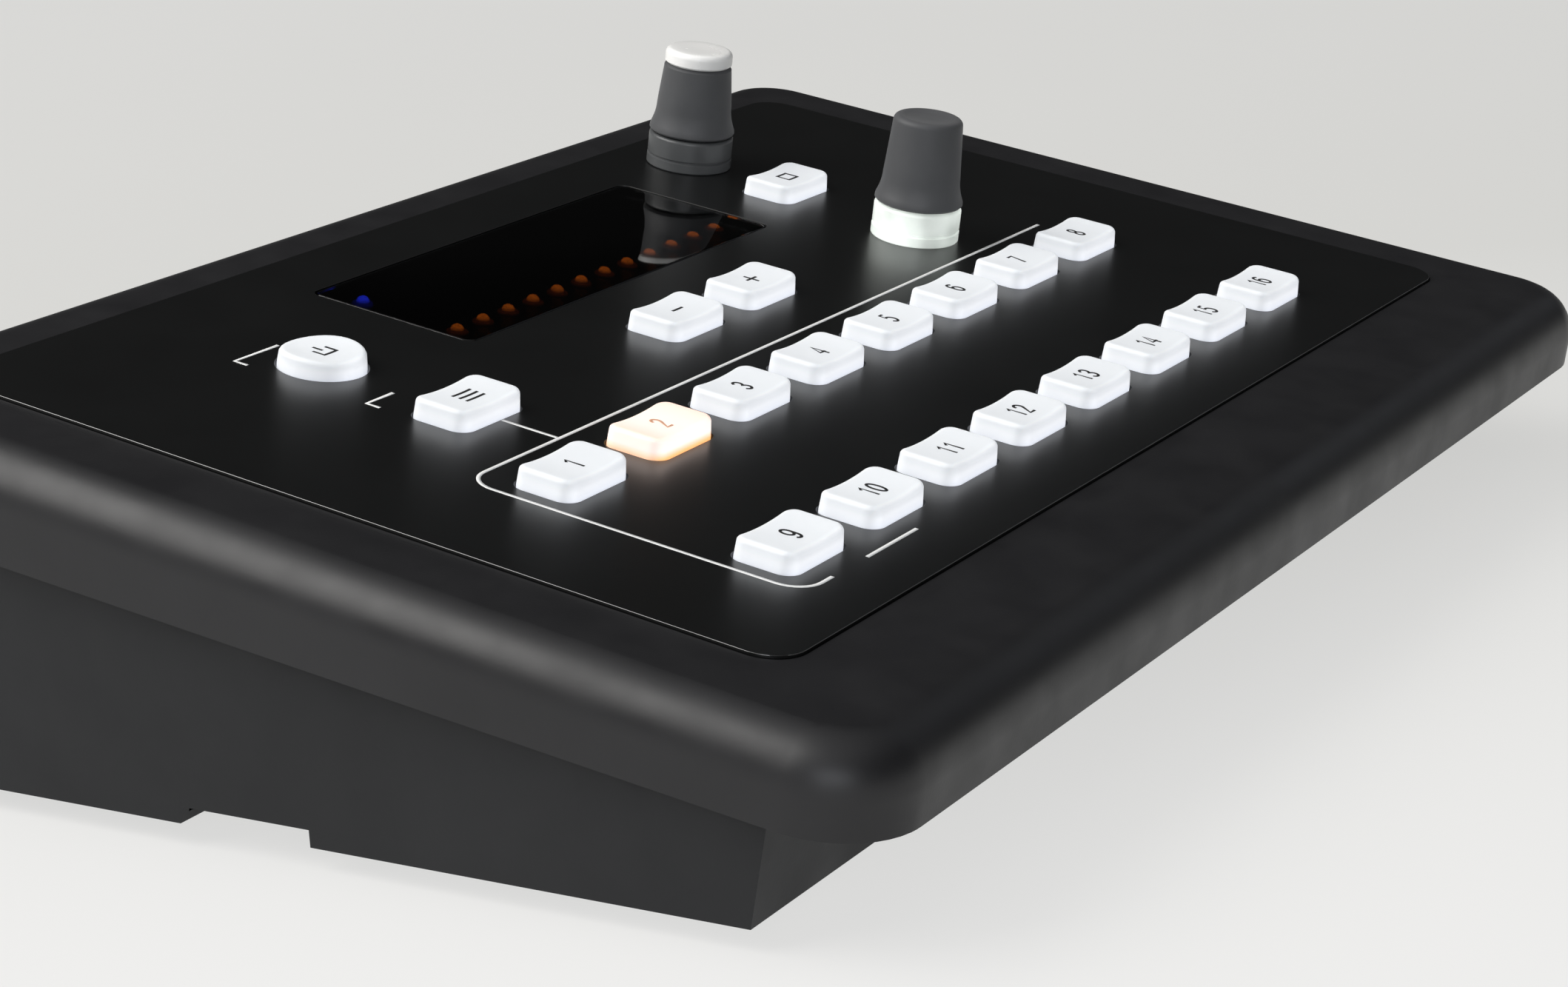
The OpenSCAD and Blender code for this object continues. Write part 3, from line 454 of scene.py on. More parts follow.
class Finish(Enum):
    """Every finish on the mixer. Grains under 0.3 mm are drawn at 0.3 mm or more, so that they show."""

    # Satin polyester powder on sheet steel: near black, with a sheen that mirrors the keys as soft blurs.
    PLATE = Grained(
        "powder_coated_steel_black", "plate_paint", "070808", "0a0b0b", 0.34, 0.45, 0.0012, swing=0.015,
        patch_mm=30, ior=1.44, coat=0.3, coat_roughness=0.32,
    )
    # The plate's edge bevel in a lighter colour and a strong gloss: a painted highlight that catches the
    # light as a thin line.
    PLATE_EDGE = Grained(
        "powder_coat_painted_edge_highlight", "plate_paint", "2a2a2a", "333333", 0.24, 0.45, 0.0008, swing=0.03,
        ior=2.2, coat=1.0, coat_roughness=0.22,
    )
    # Charcoal ABS from a spark-eroded mould: a fine matt bloom spreads the highlight on the rounded edge.
    RIM = Grained(
        "moulded_abs_charcoal", "rim_plastic", "171719", "1b1b1d", 0.44, 0.4, 0.008, swing=0.05,
        patch_mm=22, ior=1.46,
    )
    # Dark grey powder coat on folded steel: matt, with the fine orange peel of the powder.
    CHASSIS = Grained(
        "powder_coated_steel_grey", "chassis_paint", "17181a", "1b1c1e", 0.55, 0.5, 0.012, swing=0.05,
        patch_mm=26, ior=1.4,
    )
    # Zinc-plated turned steel: bright, with fine lathe marks.
    STEEL = Grained(
        "zinc_plated_steel", "plain_steel", "b9bcc0", "a3a6aa", 0.32, 0.3, 0.004,
        stretch=(1.0, 1.0, 5.0), metallic=1.0,
    )
    # Steel blackened in a hot bath: dark metal with a dull oiled shine.
    BLACK_STEEL = Grained(
        "blackened_steel", "black_steel", "2c2c2d", "3a3a3c", 0.42, 0.3, 0.004, metallic=1.0
    )
    # Black moulded rubber: deep and dull, dusted lighter in places.
    FOOT = Grained("moulded_rubber", "foot_rubber", "151515", "222222", 0.75, 0.5, 0.02, swing=0.1, ior=1.52)
    # Green solder mask on glass-fibre board: glossy, with tracks that show as paler bars.
    BOARD = Tracked("glass_fibre_board", "board_green", "14482a", "1c5a35", 0.3, 1.0, 0.02, ior=1.55)
    # Black glass-filled nylon: a dull moulded black with a slight bloom.
    SOCKET = Grained("moulded_nylon_black", "socket_black", "18181a", "212124", 0.45, 0.4, 0.008, ior=1.53)
    # Tinned sheet steel: greyer than zinc, with rolling marks along its length.
    SHELL = Grained(
        "tinned_steel", "socket_shell", "a2a5a8", "b5b8ba", 0.3, 0.3, 0.004,
        stretch=(1.0, 6.0, 1.0), metallic=1.0,
    )
    # Gold flashed over nickel on spring contacts: small warm glints.
    GOLD = Grained("gold_flashed_brass", "socket_shell", "c99a45", "b98a38", 0.22, 0.3, 0.002, metallic=1.0)
    # Clear epoxy over a warm phosphor: glassy and yellowish.
    LED = Grained(
        "cast_epoxy_clear", "led_warm", "f2e6c4", "e8d6a6", 0.15, 0.5, 0.002, ior=1.54, transmission=0.3
    )
    # Orange diffused epoxy, dimly lit: dull orange dots behind the dark window.
    LAMP = Glowing(
        "cast_epoxy_orange", "lamp_orange", "b4551f", "9c4618", 0.3, 0.5, 0.002, ior=1.54,
        glow="ff7e22", glow_strength=6.0, low_glow="000000", wall_glow="4a1c06",
    )
    # Blue diffused epoxy, dimly lit: one faint blue dot beside the orange ones.
    BLUE_LAMP = Glowing(
        "cast_epoxy_blue", "lamp_orange", "1c2a9c", "16217c", 0.3, 0.5, 0.002, ior=1.54,
        glow="2a3cff", glow_strength=14.0, low_glow="000000", wall_glow="080c48",
    )
    # Polished smoked acrylic: a hard black mirror through which only lamps show.
    WINDOW = Grained(
        "cast_acrylic_smoked", "window_black", "2a2a2b", "2c2c2d", 0.04, 2.0, 0.0008, swing=0.015,
        ior=1.28, transmission=1.0,
    )
    # White silicone rubber over dim white lamps: milky, with soft edges. Its glow is in part painted light:
    # stronger on the walls than on the top, and stronger again on the front wall, it evens out the shading
    # that the lamps give.
    KEY = Glowing(
        "moulded_silicone_white", "key_white", "cdd0d2", "c9ccce", 0.58, 0.4, 0.003, ior=1.41,
        scatter_mm=1.6, glow="d4d7dc", glow_strength=0.44, low_glow="f0f4ff", wall_glow="f8faff",
        near_gain=0.75,
    )
    # The same silicone over an orange lamp: warm white, peach at its ends and orange along the foot. Its warm
    # base colour is the lamp's tint painted into the rubber, and its glow, stronger on the walls and the
    # front wall, is in part painted light that evens out the shading.
    LIT_KEY = Glowing(
        "moulded_silicone_lit", "key_lit", "e6d4ca", "e3cfc4", 0.58, 0.4, 0.003, ior=1.41,
        scatter_mm=1.6, glow="f1e0da", glow_strength=0.56, low_glow="ffb464", wall_glow="ffeee8",
        end_glow="f4c2ac", near_gain=0.9,
    )
    # Polyurethane soft-touch paint on the knobs: dull dark grey with a velvety edge.
    KNOB = Grained(
        "soft_touch_polyurethane", "knob_rubber", "48494b", "4e4f51", 0.52, 0.4, 0.005, ior=1.4, sheen=0.1
    )
    # Clear acrylic ring over white lamps: it glows unevenly round its wall.
    COLLAR = Patchy(
        "turned_acrylic_lit", "collar_lit", "e4e9e4", "d8dfda", 0.18, 0.6, 0.004, patch_mm=6.0,
        ior=1.49, transmission=0.3, glow="f4f8f4", glow_strength=0.5,
    )
    # The same ring unlit: its frosted wall is a plain mid grey.
    DULL_COLLAR = Grained(
        "turned_acrylic_clear", "collar_plain", "565859", "606263", 0.36, 0.6, 0.004, ior=1.45,
        transmission=0.25,
    )
    # White ABS with a gloss moulded top: clean white with a small highlight.
    CAP = Grained("moulded_abs_white", "cap_white", "f6f6f4", "f2f2f0", 0.25, 0.5, 0.003, ior=1.53)
    # White epoxy screen ink: flat, very slightly uneven where the mesh laid it down.
    WHITE_INK = Grained("screen_ink_white", "plate_paint", "ecedec", "e2e3e2", 0.5, 0.3, 0.004)
    # Black pad-printing ink on the keys: thin, matt and a little brown at its edges.
    BLACK_INK = Grained("pad_ink_black", "key_white", "121213", "1b1a1a", 0.5, 0.3, 0.003)
    # The same ink over the orange lamp: light comes through it, so it is washed out to a warm brown.
    LIT_INK = Grained(
        "pad_ink_backlit", "key_lit", "9c7058", "a67a62", 0.5, 0.3, 0.003, glow="e8b898", glow_strength=0.42
    )
    # Grey PVC flat cable: a band for each core.
    RIBBON = Striped("extruded_pvc_grey", "ribbon_grey", "9a9da2", "7d8085", 0.45, 1.27, 0.05)


def arc(
    cx: float, cy: float, radius: float, start: float, stop: float, steps: int, tall: float | None = None
) -> list[Spot]:
    """Give the points of an arc.

    Args:
        cx: Centre, across.
        cy: Centre, up.
        radius: Radius.
        start: First angle in degrees.
        stop: Last angle in degrees.
        steps: Steps along the arc.
        tall: Radius upwards, where the arc is part of an oval.

    Returns:
        The points from the first angle to the last.
    """
    rise = radius if tall is None else tall
    angles = [math.radians(start + (stop - start) * k / steps) for k in range(steps + 1)]
    return [(cx + radius * math.cos(a), cy + rise * math.sin(a)) for a in angles]


def rounded_ring(half_w: float, half_d: float, radius: float) -> list[Spot]:
    """Walk round a rounded rectangle, anticlockwise from above.

    Args:
        half_w: Half its width.
        half_d: Half its depth.
        radius: Radius of its corners.

    Returns:
        The points, eight steps to a corner and to a side; a round outline has no sides.
    """
    steps, radius = 8, min(radius, half_w, half_d)
    corners = [
        arc(sx * (half_w - radius), sy * (half_d - radius), radius, 90 * quarter, 90 * quarter + 90, steps)
        for quarter, (sx, sy) in enumerate(((1, 1), (-1, 1), (-1, -1), (1, -1)))
    ]
    points: list[Spot] = []
    for corner, following in zip(corners, corners[1:] + corners[:1]):
        points += corner
        (x0, y0), (x1, y1) = corner[-1], following[0]
        if math.hypot(x1 - x0, y1 - y0) < 1e-6:
            points.pop()
            continue
        points += [(x0 + (x1 - x0) * k / steps, y0 + (y1 - y0) * k / steps) for k in range(1, steps)]
    return points


def loft(rings: Sequence[Ring], closed: bool = False) -> Shell:
    """Skin a stack of rings that have the same number of points.

    Args:
        rings: The rings, each anticlockwise seen from the end of the stack.
        closed: True joins the last ring to the first; otherwise both ends are capped.

    Returns:
        A closed mesh.
    """
    shell = bmesh.new()
    rows = [[shell.verts.new(p) for p in ring] for ring in rings]
    for low, high in zip(rows, rows[1:] + rows[:1] if closed else rows[1:]):
        count = len(low)
        for i in range(count):
            j = (i + 1) % count
            shell.faces.new((low[i], low[j], high[j], high[i]))
    if not closed:
        shell.faces.new(list(reversed(rows[0])))
        shell.faces.new(rows[-1])
    bmesh.ops.recalc_face_normals(shell, faces=shell.faces)
    return shell


def lathe(profile: Sequence[Spot], steps: int, closed: bool = False) -> Shell:
    """Turn a profile about the upright axis.

    Args:
        profile: Radius and height of each point, from the foot up.
        steps: Steps round the axis.
        closed: True joins the profile's end to its start, as on a tube.

    Returns:
        A closed mesh.
    """
    turns = [math.tau * k / steps for k in range(steps)]
    return loft([[(r * math.cos(a), r * math.sin(a), h) for a in turns] for r, h in profile], closed)


def to_mesh(shell: Shell, name: str, smooth_deg: float = 40.0) -> Mesh:
    """Write a mesh out, smooth but for its sharp edges.

    Args:
        shell: The mesh to write; it is freed.
        name: Name of the new mesh.
        smooth_deg: Edges that turn further than this stay sharp.

    Returns:
        The new mesh.
    """
    mesh = bpy.data.meshes.new(name)
    shell.to_mesh(mesh)
    shell.free()
    for layer in ("custom_normal", "sharp_face"):
        if layer in mesh.attributes:
            mesh.attributes.remove(mesh.attributes[layer])
    mesh.shade_smooth()
    mesh.set_sharp_from_angle(angle=math.radians(smooth_deg))
    return mesh


def evaluate(
    name: str,
    data: bpy.types.ID,
    tree: Tree | None = None,
    inputs: dict[str, Any] | None = None,
    even: bool = False,
) -> Mesh:
    """Turn a mesh or a curve into a plain mesh, through a geometry tree if there is one.

    Args:
        name: Name of the new mesh.
        data: What the tree starts from.
        tree: The geometry tree.
        inputs: The tree's inputs by name.
        even: True weighs normals by face size, so that flats stay flat beside a rounding.

    Returns:
        The plain mesh.
    """
    holder = bpy.data.objects.new(name, data)
    bpy.context.scene.collection.objects.link(holder)
    if tree:
        modifier = holder.modifiers.new(tree.name, "NODES")
        modifier.node_group = tree
        for item in tree.interface.items_tree:
            if item.in_out == "INPUT" and item.name in (inputs or {}):
                modifier[item.identifier] = inputs[item.name]
    if even:
        weigh = holder.modifiers.new("even", "WEIGHTED_NORMAL")
        weigh.weight, weigh.keep_sharp = 100, True
    graph = bpy.context.evaluated_depsgraph_get()
    mesh = bpy.data.meshes.new_from_object(holder.evaluated_get(graph))
    mesh.name = name
    holder.modifiers.clear()
    bpy.data.objects.remove(holder)
    return mesh


@dataclass
class Panel:
    """Axes of the sloping panel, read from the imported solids.

    Attributes:
        nodes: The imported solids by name.
        tilt: Slope in radians.
        place: Matrix from panel millimetres to the part's metres.
    """

    nodes: dict[str, Piece]
    tilt: float
    place: Matrix = field(init=False)

    def __post_init__(self) -> None:
        """Set the origin at the middle of the plate's front edge, on its face."""
        turn = Matrix.Rotation(self.tilt, 4, "X")
        plate = [turn.inverted() @ v.co for v in self.nodes["top_plate"].data.vertices]
        origin = turn @ Vector((0.0, min(p.y for p in plate), max(p.z for p in plate)))
        self.place = Matrix.Translation(origin) @ turn @ Matrix.Scale(MM, 4)

    def extent(self, node: str, above: float = -math.inf) -> tuple[Vector, Vector]:
        """Measure a solid along the panel's axes.

        Args:
            node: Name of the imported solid.
            above: Only what lies above this height counts, in millimetres.

        Returns:
            Its lowest and highest corners, in panel millimetres.
        """
        back = self.place.inverted()
        points = [p for p in (back @ v.co for v in self.nodes[node].data.vertices) if p.z >= above]
        low, high = (Vector(pick(p[i] for p in points) for i in range(3)) for pick in (min, max))
        return low, high

    def centred(self, low: Vector, high: Vector) -> Matrix:
        """Give the matrix of panel axes that start at the middle of an extent."""
        return self.place @ Matrix.Translation(((low.x + high.x) / 2, (low.y + high.y) / 2, 0.0))

    def keys_middle(self) -> float:
        """Find the middle of the key rows across the panel, in millimetres."""
        return (self.extent("key_01")[0].x + self.extent("key_08")[1].x) / 2


@dataclass
class Bench:
    """What every sub-assembly works with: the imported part, the panel's axes and the finishes."""

    frame: dict[str, Any]
    panel: Panel
    materials: dict[Finish, bpy.types.Material] = field(default_factory=dict)

    def material(self, finish: Finish) -> bpy.types.Material:
        """Give a finish's material, made at its first use.

        Args:
            finish: The finish.

        Returns:
            Its material.
        """
        if finish not in self.materials:
            self.materials[finish] = finish.value.build()
        return self.materials[finish]

    def dress(self, finish: Finish, *nodes: str) -> None:
        """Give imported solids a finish.

        Args:
            finish: The finish.
            *nodes: Names of the solids.
        """
        for node in nodes:
            mesh = self.frame["nodes"][node].data
            mesh.materials.clear()
            mesh.materials.append(self.material(finish))
            LOG.info("dressed %s in %s", node, finish.value.name)

    def add(
        self,
        name: str,
        mesh: Mesh,
        finish: Finish,
        replaces: str = "",
        body: str = "case",
        place: Matrix | None = None,
    ) -> Piece:
        """Set a finished mesh in the part.

        Args:
            name: Name of the piece.
            mesh: Its mesh.
            finish: Its finish.
            replaces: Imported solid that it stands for, if there is one.
            body: Body that it rides on.
            place: Matrix that sets the mesh in the part's frame, if it isn't there yet.

        Returns:
            The piece.
        """
        if place is not None:
            mesh.transform(place)
        mesh.materials.clear()
        mesh.materials.append(self.material(finish))
        piece = bpy.data.objects.new(name, mesh)
        bpy.context.scene.collection.objects.link(piece)
        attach(piece, body)
        if replaces:
            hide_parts(replaces)
        LOG.info("%s: %d faces on %s", name, len(mesh.polygons), body)
        return piece

    def solid(self, node: str) -> Shell:
        """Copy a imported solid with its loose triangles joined.

        Args:
            node: Name of the solid.

        Returns:
            The copy.
        """
        shell = bmesh.new()
        shell.from_mesh(self.frame["nodes"][node].data)
        bmesh.ops.remove_doubles(shell, verts=shell.verts, dist=MERGE_M)
        return shell

    def rounded(self, name: str, node: str, finish: Finish, width_mm: float, segments: int = 3) -> Piece:
        """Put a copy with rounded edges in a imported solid's place.

        Args:
            name: Name of the piece.
            node: Name of the solid.
            finish: The piece's finish.
            width_mm: Width of the rounding.
            segments: Steps across it.

        Returns:
            The piece.
        """
        flat, sharp = math.radians(FLAT_DEG), math.radians(SHARP_DEG)
        shell = self.solid(node)
        for layer in list(shell.loops.layers.float_vector.values()):
            shell.loops.layers.float_vector.remove(layer)
        bmesh.ops.dissolve_limit(
            shell, angle_limit=flat, verts=shell.verts, edges=shell.edges, use_dissolve_boundaries=False
        )
        bmesh.ops.bevel(
            shell,
            geom=[e for e in shell.edges if len(e.link_faces) == 2 and e.calc_face_angle(0.0) > sharp],
            offset=width_mm * MM,
            offset_type="OFFSET",
            segments=segments,
            profile=0.5,
            affect="EDGES",
            clamp_overlap=True,
        )
        mesh = evaluate(node + "_edged", to_mesh(shell, node + "_edged", CREASE_DEG), even=True)
        return self.add(name, mesh, finish, node)


def new_tree(name: str, **sockets: str) -> tuple[Tree, bpy.types.NodeOutputs]:
    """Start a geometry tree with named inputs, the last of them its material.

    Args:
        name: Name of the tree.
        **sockets: Socket type of each input after the geometry.

    Returns:
        The tree and the sockets of its inputs.
    """
    tree = bpy.data.node_groups.new(name, "GeometryNodeTree")
    tree.interface.new_socket("Geometry", in_out="OUTPUT", socket_type="NodeSocketGeometry")
    for label, kind in {"Geometry": "Geometry", **sockets, "Material": "Material"}.items():
        tree.interface.new_socket(label, in_out="INPUT", socket_type="NodeSocket" + kind)
    return tree, add_node(tree, "NodeGroupInput").outputs


def end_tree(tree: Tree, shape: Node, material: Socket) -> None:
    """End a geometry tree in real, dressed geometry.

    Args:
        tree: The tree.
        shape: Node that gives its shape.
        material: Socket of its material.
    """
    real = add_node(tree, "GeometryNodeRealizeInstances", {"Geometry": shape})
    dressed = add_node(tree, "GeometryNodeSetMaterial", {"Geometry": real, "Material": material})
    add_node(tree, "NodeGroupOutput", {"Geometry": dressed})


def copies_tree() -> Tree:
    """Make the tree that sets copies of one piece on points, each turned by chance about its own axis.

    Returns:
        The tree, with inputs Copy, Aim, Spin, Seed and Material.
    """
    tree, given = new_tree("copies_on_points", Copy="Object", Aim="Vector", Spin="Float", Seed="Int")
    source = add_node(tree, "GeometryNodeObjectInfo", {"Object": given["Copy"]}).outputs["Geometry"]
    draw = {2: 0.0, 3: given["Spin"], "Seed": given["Seed"]}
    chance = add_node(tree, "FunctionNodeRandomValue", draw, data_type="FLOAT").outputs[1]
    twist = add_node(tree, "ShaderNodeCombineXYZ", {"Z": chance})
    spun = add_node(tree, "FunctionNodeEulerToRotation", {"Euler": twist})
    aim = add_node(tree, "FunctionNodeEulerToRotation", {"Euler": given["Aim"]})
    both = {"Rotation": aim, "Rotate By": spun}
    turn = add_node(tree, "FunctionNodeRotateRotation", both, rotation_space="LOCAL")
    points = add_node(tree, "GeometryNodeMeshToPoints", {"Mesh": given["Geometry"]})
    setting = {"Points": points, "Instance": source, "Rotation": turn}
    end_tree(tree, add_node(tree, "GeometryNodeInstanceOnPoints", setting), given["Material"])
    return tree


def strip_tree() -> Tree:
    """Make the tree that lays a flat strip along a path.

    Returns:
        The tree, with inputs Width, Thickness and Material.
    """
    tree, given = new_tree("strip_along_path", Width="Float", Thickness="Float")
    size = {"Width": given["Width"], "Height": given["Thickness"]}
    section = add_node(tree, "GeometryNodeCurvePrimitiveQuadrilateral", size)
    sweep = {"Curve": given["Geometry"], "Profile Curve": section, "Fill Caps": True}
    end_tree(tree, add_node(tree, "GeometryNodeCurveToMesh", sweep), given["Material"])
    return tree


def thread_tree() -> Tree:
    """Make the tree that winds a thread's ridge.

    Returns:
        The tree, with inputs Radius, Pitch, Turns, Ridge and Material.
    """
    tree, given = new_tree("wound_thread", Radius="Float", Pitch="Float", Turns="Float", Ridge="Float")
    length = {0: given["Pitch"], 1: given["Turns"]}
    winding = {
        "Resolution": 40,
        "Rotations": given["Turns"],
        "Start Radius": given["Radius"],
        "End Radius": given["Radius"],
        "Height": add_node(tree, "ShaderNodeMath", length, operation="MULTIPLY"),
    }
    path = add_node(tree, "GeometryNodeCurveSpiral", winding)
    section = add_node(tree, "GeometryNodeCurvePrimitiveCircle", {"Resolution": 4, "Radius": given["Ridge"]})
    sweep = {"Curve": path, "Profile Curve": section, "Fill Caps": True}
    end_tree(tree, add_node(tree, "GeometryNodeCurveToMesh", sweep), given["Material"])
    return tree


def points_mesh(name: str, points: Iterable[Point]) -> Mesh:
    """Make a mesh of loose points.

    Args:
        name: Name of the mesh.
        points: The points.

    Returns:
        The mesh.
    """
    mesh = bpy.data.meshes.new(name)
    mesh.from_pydata(list(points), [], [])
    return mesh


@dataclass
class Copies:
    """Equal small pieces set on points through one geometry tree."""

    bench: Bench
    tree: Tree

    def set_out(
        self,
        name: str,
        shape: Shell,
        points: Sequence[Point],
        finish: Finish,
        replaces: str = "",
        place: Matrix | None = None,
        aim: Point = (0.0, 0.0, 0.0),
        spin: float = 0.0,
    ) -> None:
        """Copy a shape to each point.

        Args:
            name: Name of the finished piece.
            shape: One copy, with its own axis up; it is freed.
            points: Where the copies go.
            finish: Their finish.
            replaces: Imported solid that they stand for, if there is one.
            place: Matrix that sets them in the part's frame, if they aren't there yet.
            aim: Turn that all copies take, in radians about x, y and z.
            spin: Most that chance may turn a copy about its own axis.
        """
        model = bpy.data.objects.new(name + "_model", to_mesh(shape, name + "_model"))
        bpy.context.scene.collection.objects.link(model)
        inputs = {"Copy": model, "Aim": aim, "Spin": spin, "Seed": SCREW_SEED}
        inputs["Material"] = self.bench.material(finish)
        mesh = evaluate(name, points_mesh(name + "_points", points), self.tree, inputs)
        bpy.data.objects.remove(model)
        self.bench.add(name, mesh, finish, replaces, place=place)


@dataclass
class Pen:
    """Flat strips of ink laid along lines through one geometry tree."""

    bench: Bench
    tree: Tree

    def draw(
        self, name: str, lines: Sequence[Sequence[Spot]], finish: Finish, width_mm: float, thick_mm: float
    ) -> Mesh:
        """Lay a strip along each line.

        Args:
            name: Name of the mesh.
            lines: Points of each line in millimetres; one that ends where it starts is a closed loop.
            finish: The ink.
            width_mm: Width of the strips.
            thick_mm: Thickness of the strips.

        Returns:
            The mesh, in millimetres.
        """
        curve = bpy.data.curves.new(name, "CURVE")
        curve.dimensions, curve.twist_mode = "3D", "Z_UP"
        for line in lines:
            closed = math.dist(line[0], line[-1]) < 1e-6
            points = line[:-1] if closed else line
            spline = curve.splines.new("POLY")
            spline.points.add(len(points) - 1)
            spline.use_cyclic_u = closed
            for point, (x, y) in zip(spline.points, points):
                point.co = (x, y, 0.0, 1.0)
        inputs = {"Width": width_mm, "Thickness": thick_mm, "Material": self.bench.material(finish)}
        return evaluate(name, curve, self.tree, inputs)


def screw_head(radius: float, height: float, reach: float, shank: float) -> Shell:
    """Shape a pan-head screw with a cross recess, its head up and its seat at height 0.

    Args:
        radius: Radius of the head.
        height: Height of the head.
        reach: Length of the shank.
        shank: Radius of the shank.

    Returns:
        The closed mesh.
    """
    arm, slit = 0.6 * radius, 0.15 * radius
    corner = math.degrees(math.atan2(slit, arm))
    quarter = (0.0, corner, 25.0, 35.0, 45.0, 55.0, 65.0, 90.0 - corner)
    turns = [math.radians(90 * q + a) for q in range(4) for a in quarter]

    def ring(r: float, h: float) -> Ring:
        """Go round once at one radius and height."""
        return [(r * math.cos(a), r * math.sin(a), h) for a in turns]

    def cross(share: float, h: float) -> Ring:
        """Go round the cross once.

        Args:
            share: Share of its size to which it is drawn in.
            h: Height.

        Returns:
            The points.
        """
        points: Ring = []
        for a in turns:
            c, s = max(abs(math.cos(a)), 1e-6), max(abs(math.sin(a)), 1e-6)
            r = share * max(min(arm / c, slit / s), min(arm / s, slit / c))
            points.append((r * math.cos(a), r * math.sin(a), h))
        return points

    rings = [ring(0.05 * shank, -reach), ring(0.8 * shank, -reach), ring(shank, 0.3 * shank - reach)]
    rings += [ring(shank, 0.0), ring(radius, 0.0), ring(radius, 0.35 * height)]
    for bend in (22.5, 45.0, 67.5, 90.0):
        rise = math.radians(bend)
        rings.append(ring(radius * (0.72 + 0.28 * math.cos(rise)), height * (0.35 + 0.6 * math.sin(rise))))
    rings += [cross(1.0, height), cross(0.9, 0.45 * height), cross(0.25, 0.3 * height)]
    return loft(rings)


@dataclass
class Case:
    """Plate, rim, chassis, rear panel, feet and screws.

    Attributes:
        brink_mm: Width of the plate's border in which its edge is looked for.
        edge_slopes: Least and greatest upward share of a normal on that edge.
    """

    bench: Bench
    copies: Copies
    plate_edge_mm: float = 0.36
    brink_mm: float = 1.0
    edge_slopes: Spot = (0.1, 0.95)
    rim_edge_mm: float = 0.35
    fold_mm: float = 0.35
    rear_edge_mm: float = 0.2
    foot_r_mm: float = 7.0
    foot_h_mm: float = 3.0
    head_r_mm: float = 2.6
    head_h_mm: float = 1.6
    shank_r_mm: float = 1.25
    floor_reach_mm: float = 11.2
    rear_reach_mm: float = 5.0

    def build(self) -> None:
        """Round the sheet and moulded edges, and set out the feet and the screws."""
        self.plate()
        rounded = self.bench.rounded
        rounded("rim_moulding", "rim_frame", Finish.RIM, self.rim_edge_mm)
        rounded("chassis_sheet", "chassis_tray", Finish.CHASSIS, self.fold_mm)
        rounded("rear_sheet", "rear_panel", Finish.CHASSIS, self.rear_edge_mm, 2)
        self.feet()
        self.screws()

    def plate(self) -> None:
        """Make the plate, its outer top edge lighter and glossier: a painted highlight along the edge."""
        bench = self.bench
        mesh = bench.rounded("top_plate_sheet", "top_plate", Finish.PLATE, self.plate_edge_mm).data
        mesh.materials.append(bench.material(Finish.PLATE_EDGE))
        low, high = bench.panel.extent("top_plate")
        back = bench.panel.place.inverted()
        steep, flat = self.edge_slopes
        for face in mesh.polygons:
            spot = back @ face.center
            slope = (back.to_3x3() @ face.normal).normalized().z
            brink = min(spot.x - low.x, high.x - spot.x, spot.y - low.y, high.y - spot.y)
            # Faces of the edge bevel take the lighter, glossier finish: a painted highlight.
            if spot.z > -self.brink_mm and brink < self.brink_mm and steep < slope < flat:
                face.material_index = 1

    def centres(self, node: str) -> list[Vector]:
        """Find the middle of each separate solid in a node.

        Args:
            node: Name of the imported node.

        Returns:
            The middles, from left to right.
        """
        shell = self.bench.solid(node)
        waiting, found = set(shell.verts), []
        while waiting:
            island, edge = set(), [waiting.pop()]
            while edge:
                vert = edge.pop()
                island.add(vert)
                near = {link.other_vert(vert) for link in vert.link_edges} & waiting
                waiting -= near
                edge += near
            low, high = (Vector(pick(v.co[i] for v in island) for i in range(3)) for pick in (min, max))
            found.append((low + high) / 2)
        shell.free()
        return sorted(found, key=lambda p: tuple(round(c, 5) for c in p))

    def feet(self) -> None:
        """Set out the moulded feet, each dished under and dimpled in the middle."""
        r, h = self.foot_r_mm, self.foot_h_mm
        profile = [(0.4, 1.3), (1.5, 1.3), (2.2, 0.9), (2.6, 0.35), (3.2, 0.3), (r - 1.9, 0.3)]
        profile += [(r - 1.5, 0.0)] + arc(r - 1.1, 0.5, 0.5, -90, -10, 5) + [(r, h), (0.4, h)]
        shape = lathe([(a * MM, b * MM) for a, b in profile], 48)
        points = [(p.x, p.y, 0.0) for p in self.centres("rubber_feet")]
        self.copies.set_out("moulded_feet", shape, points, Finish.FOOT, "rubber_feet")

    def screws(self) -> None:
        """Set out the case screws and the rear screws, each stopped at its own angle."""
        head = self.head_h_mm * MM
        for name, node, turn, reach in (
            ("floor_screws", "case_screws", math.pi, self.floor_reach_mm),
            ("back_screws", "rear_panel_screws", -math.pi / 2, self.rear_reach_mm),
        ):
            low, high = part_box(node)
            if name == "floor_screws":
                points = [(p.x, p.y, low[2] + head) for p in self.centres(node)]
            else:
                points = [(p.x, high[1] - head, p.z) for p in self.centres(node)]
            shape = screw_head(self.head_r_mm * MM, head, reach * MM, self.shank_r_mm * MM)
            aim = (turn, 0.0, 0.0)
            self.copies.set_out(name, shape, points, Finish.BLACK_STEEL, node, aim=aim, spin=math.pi / 2)


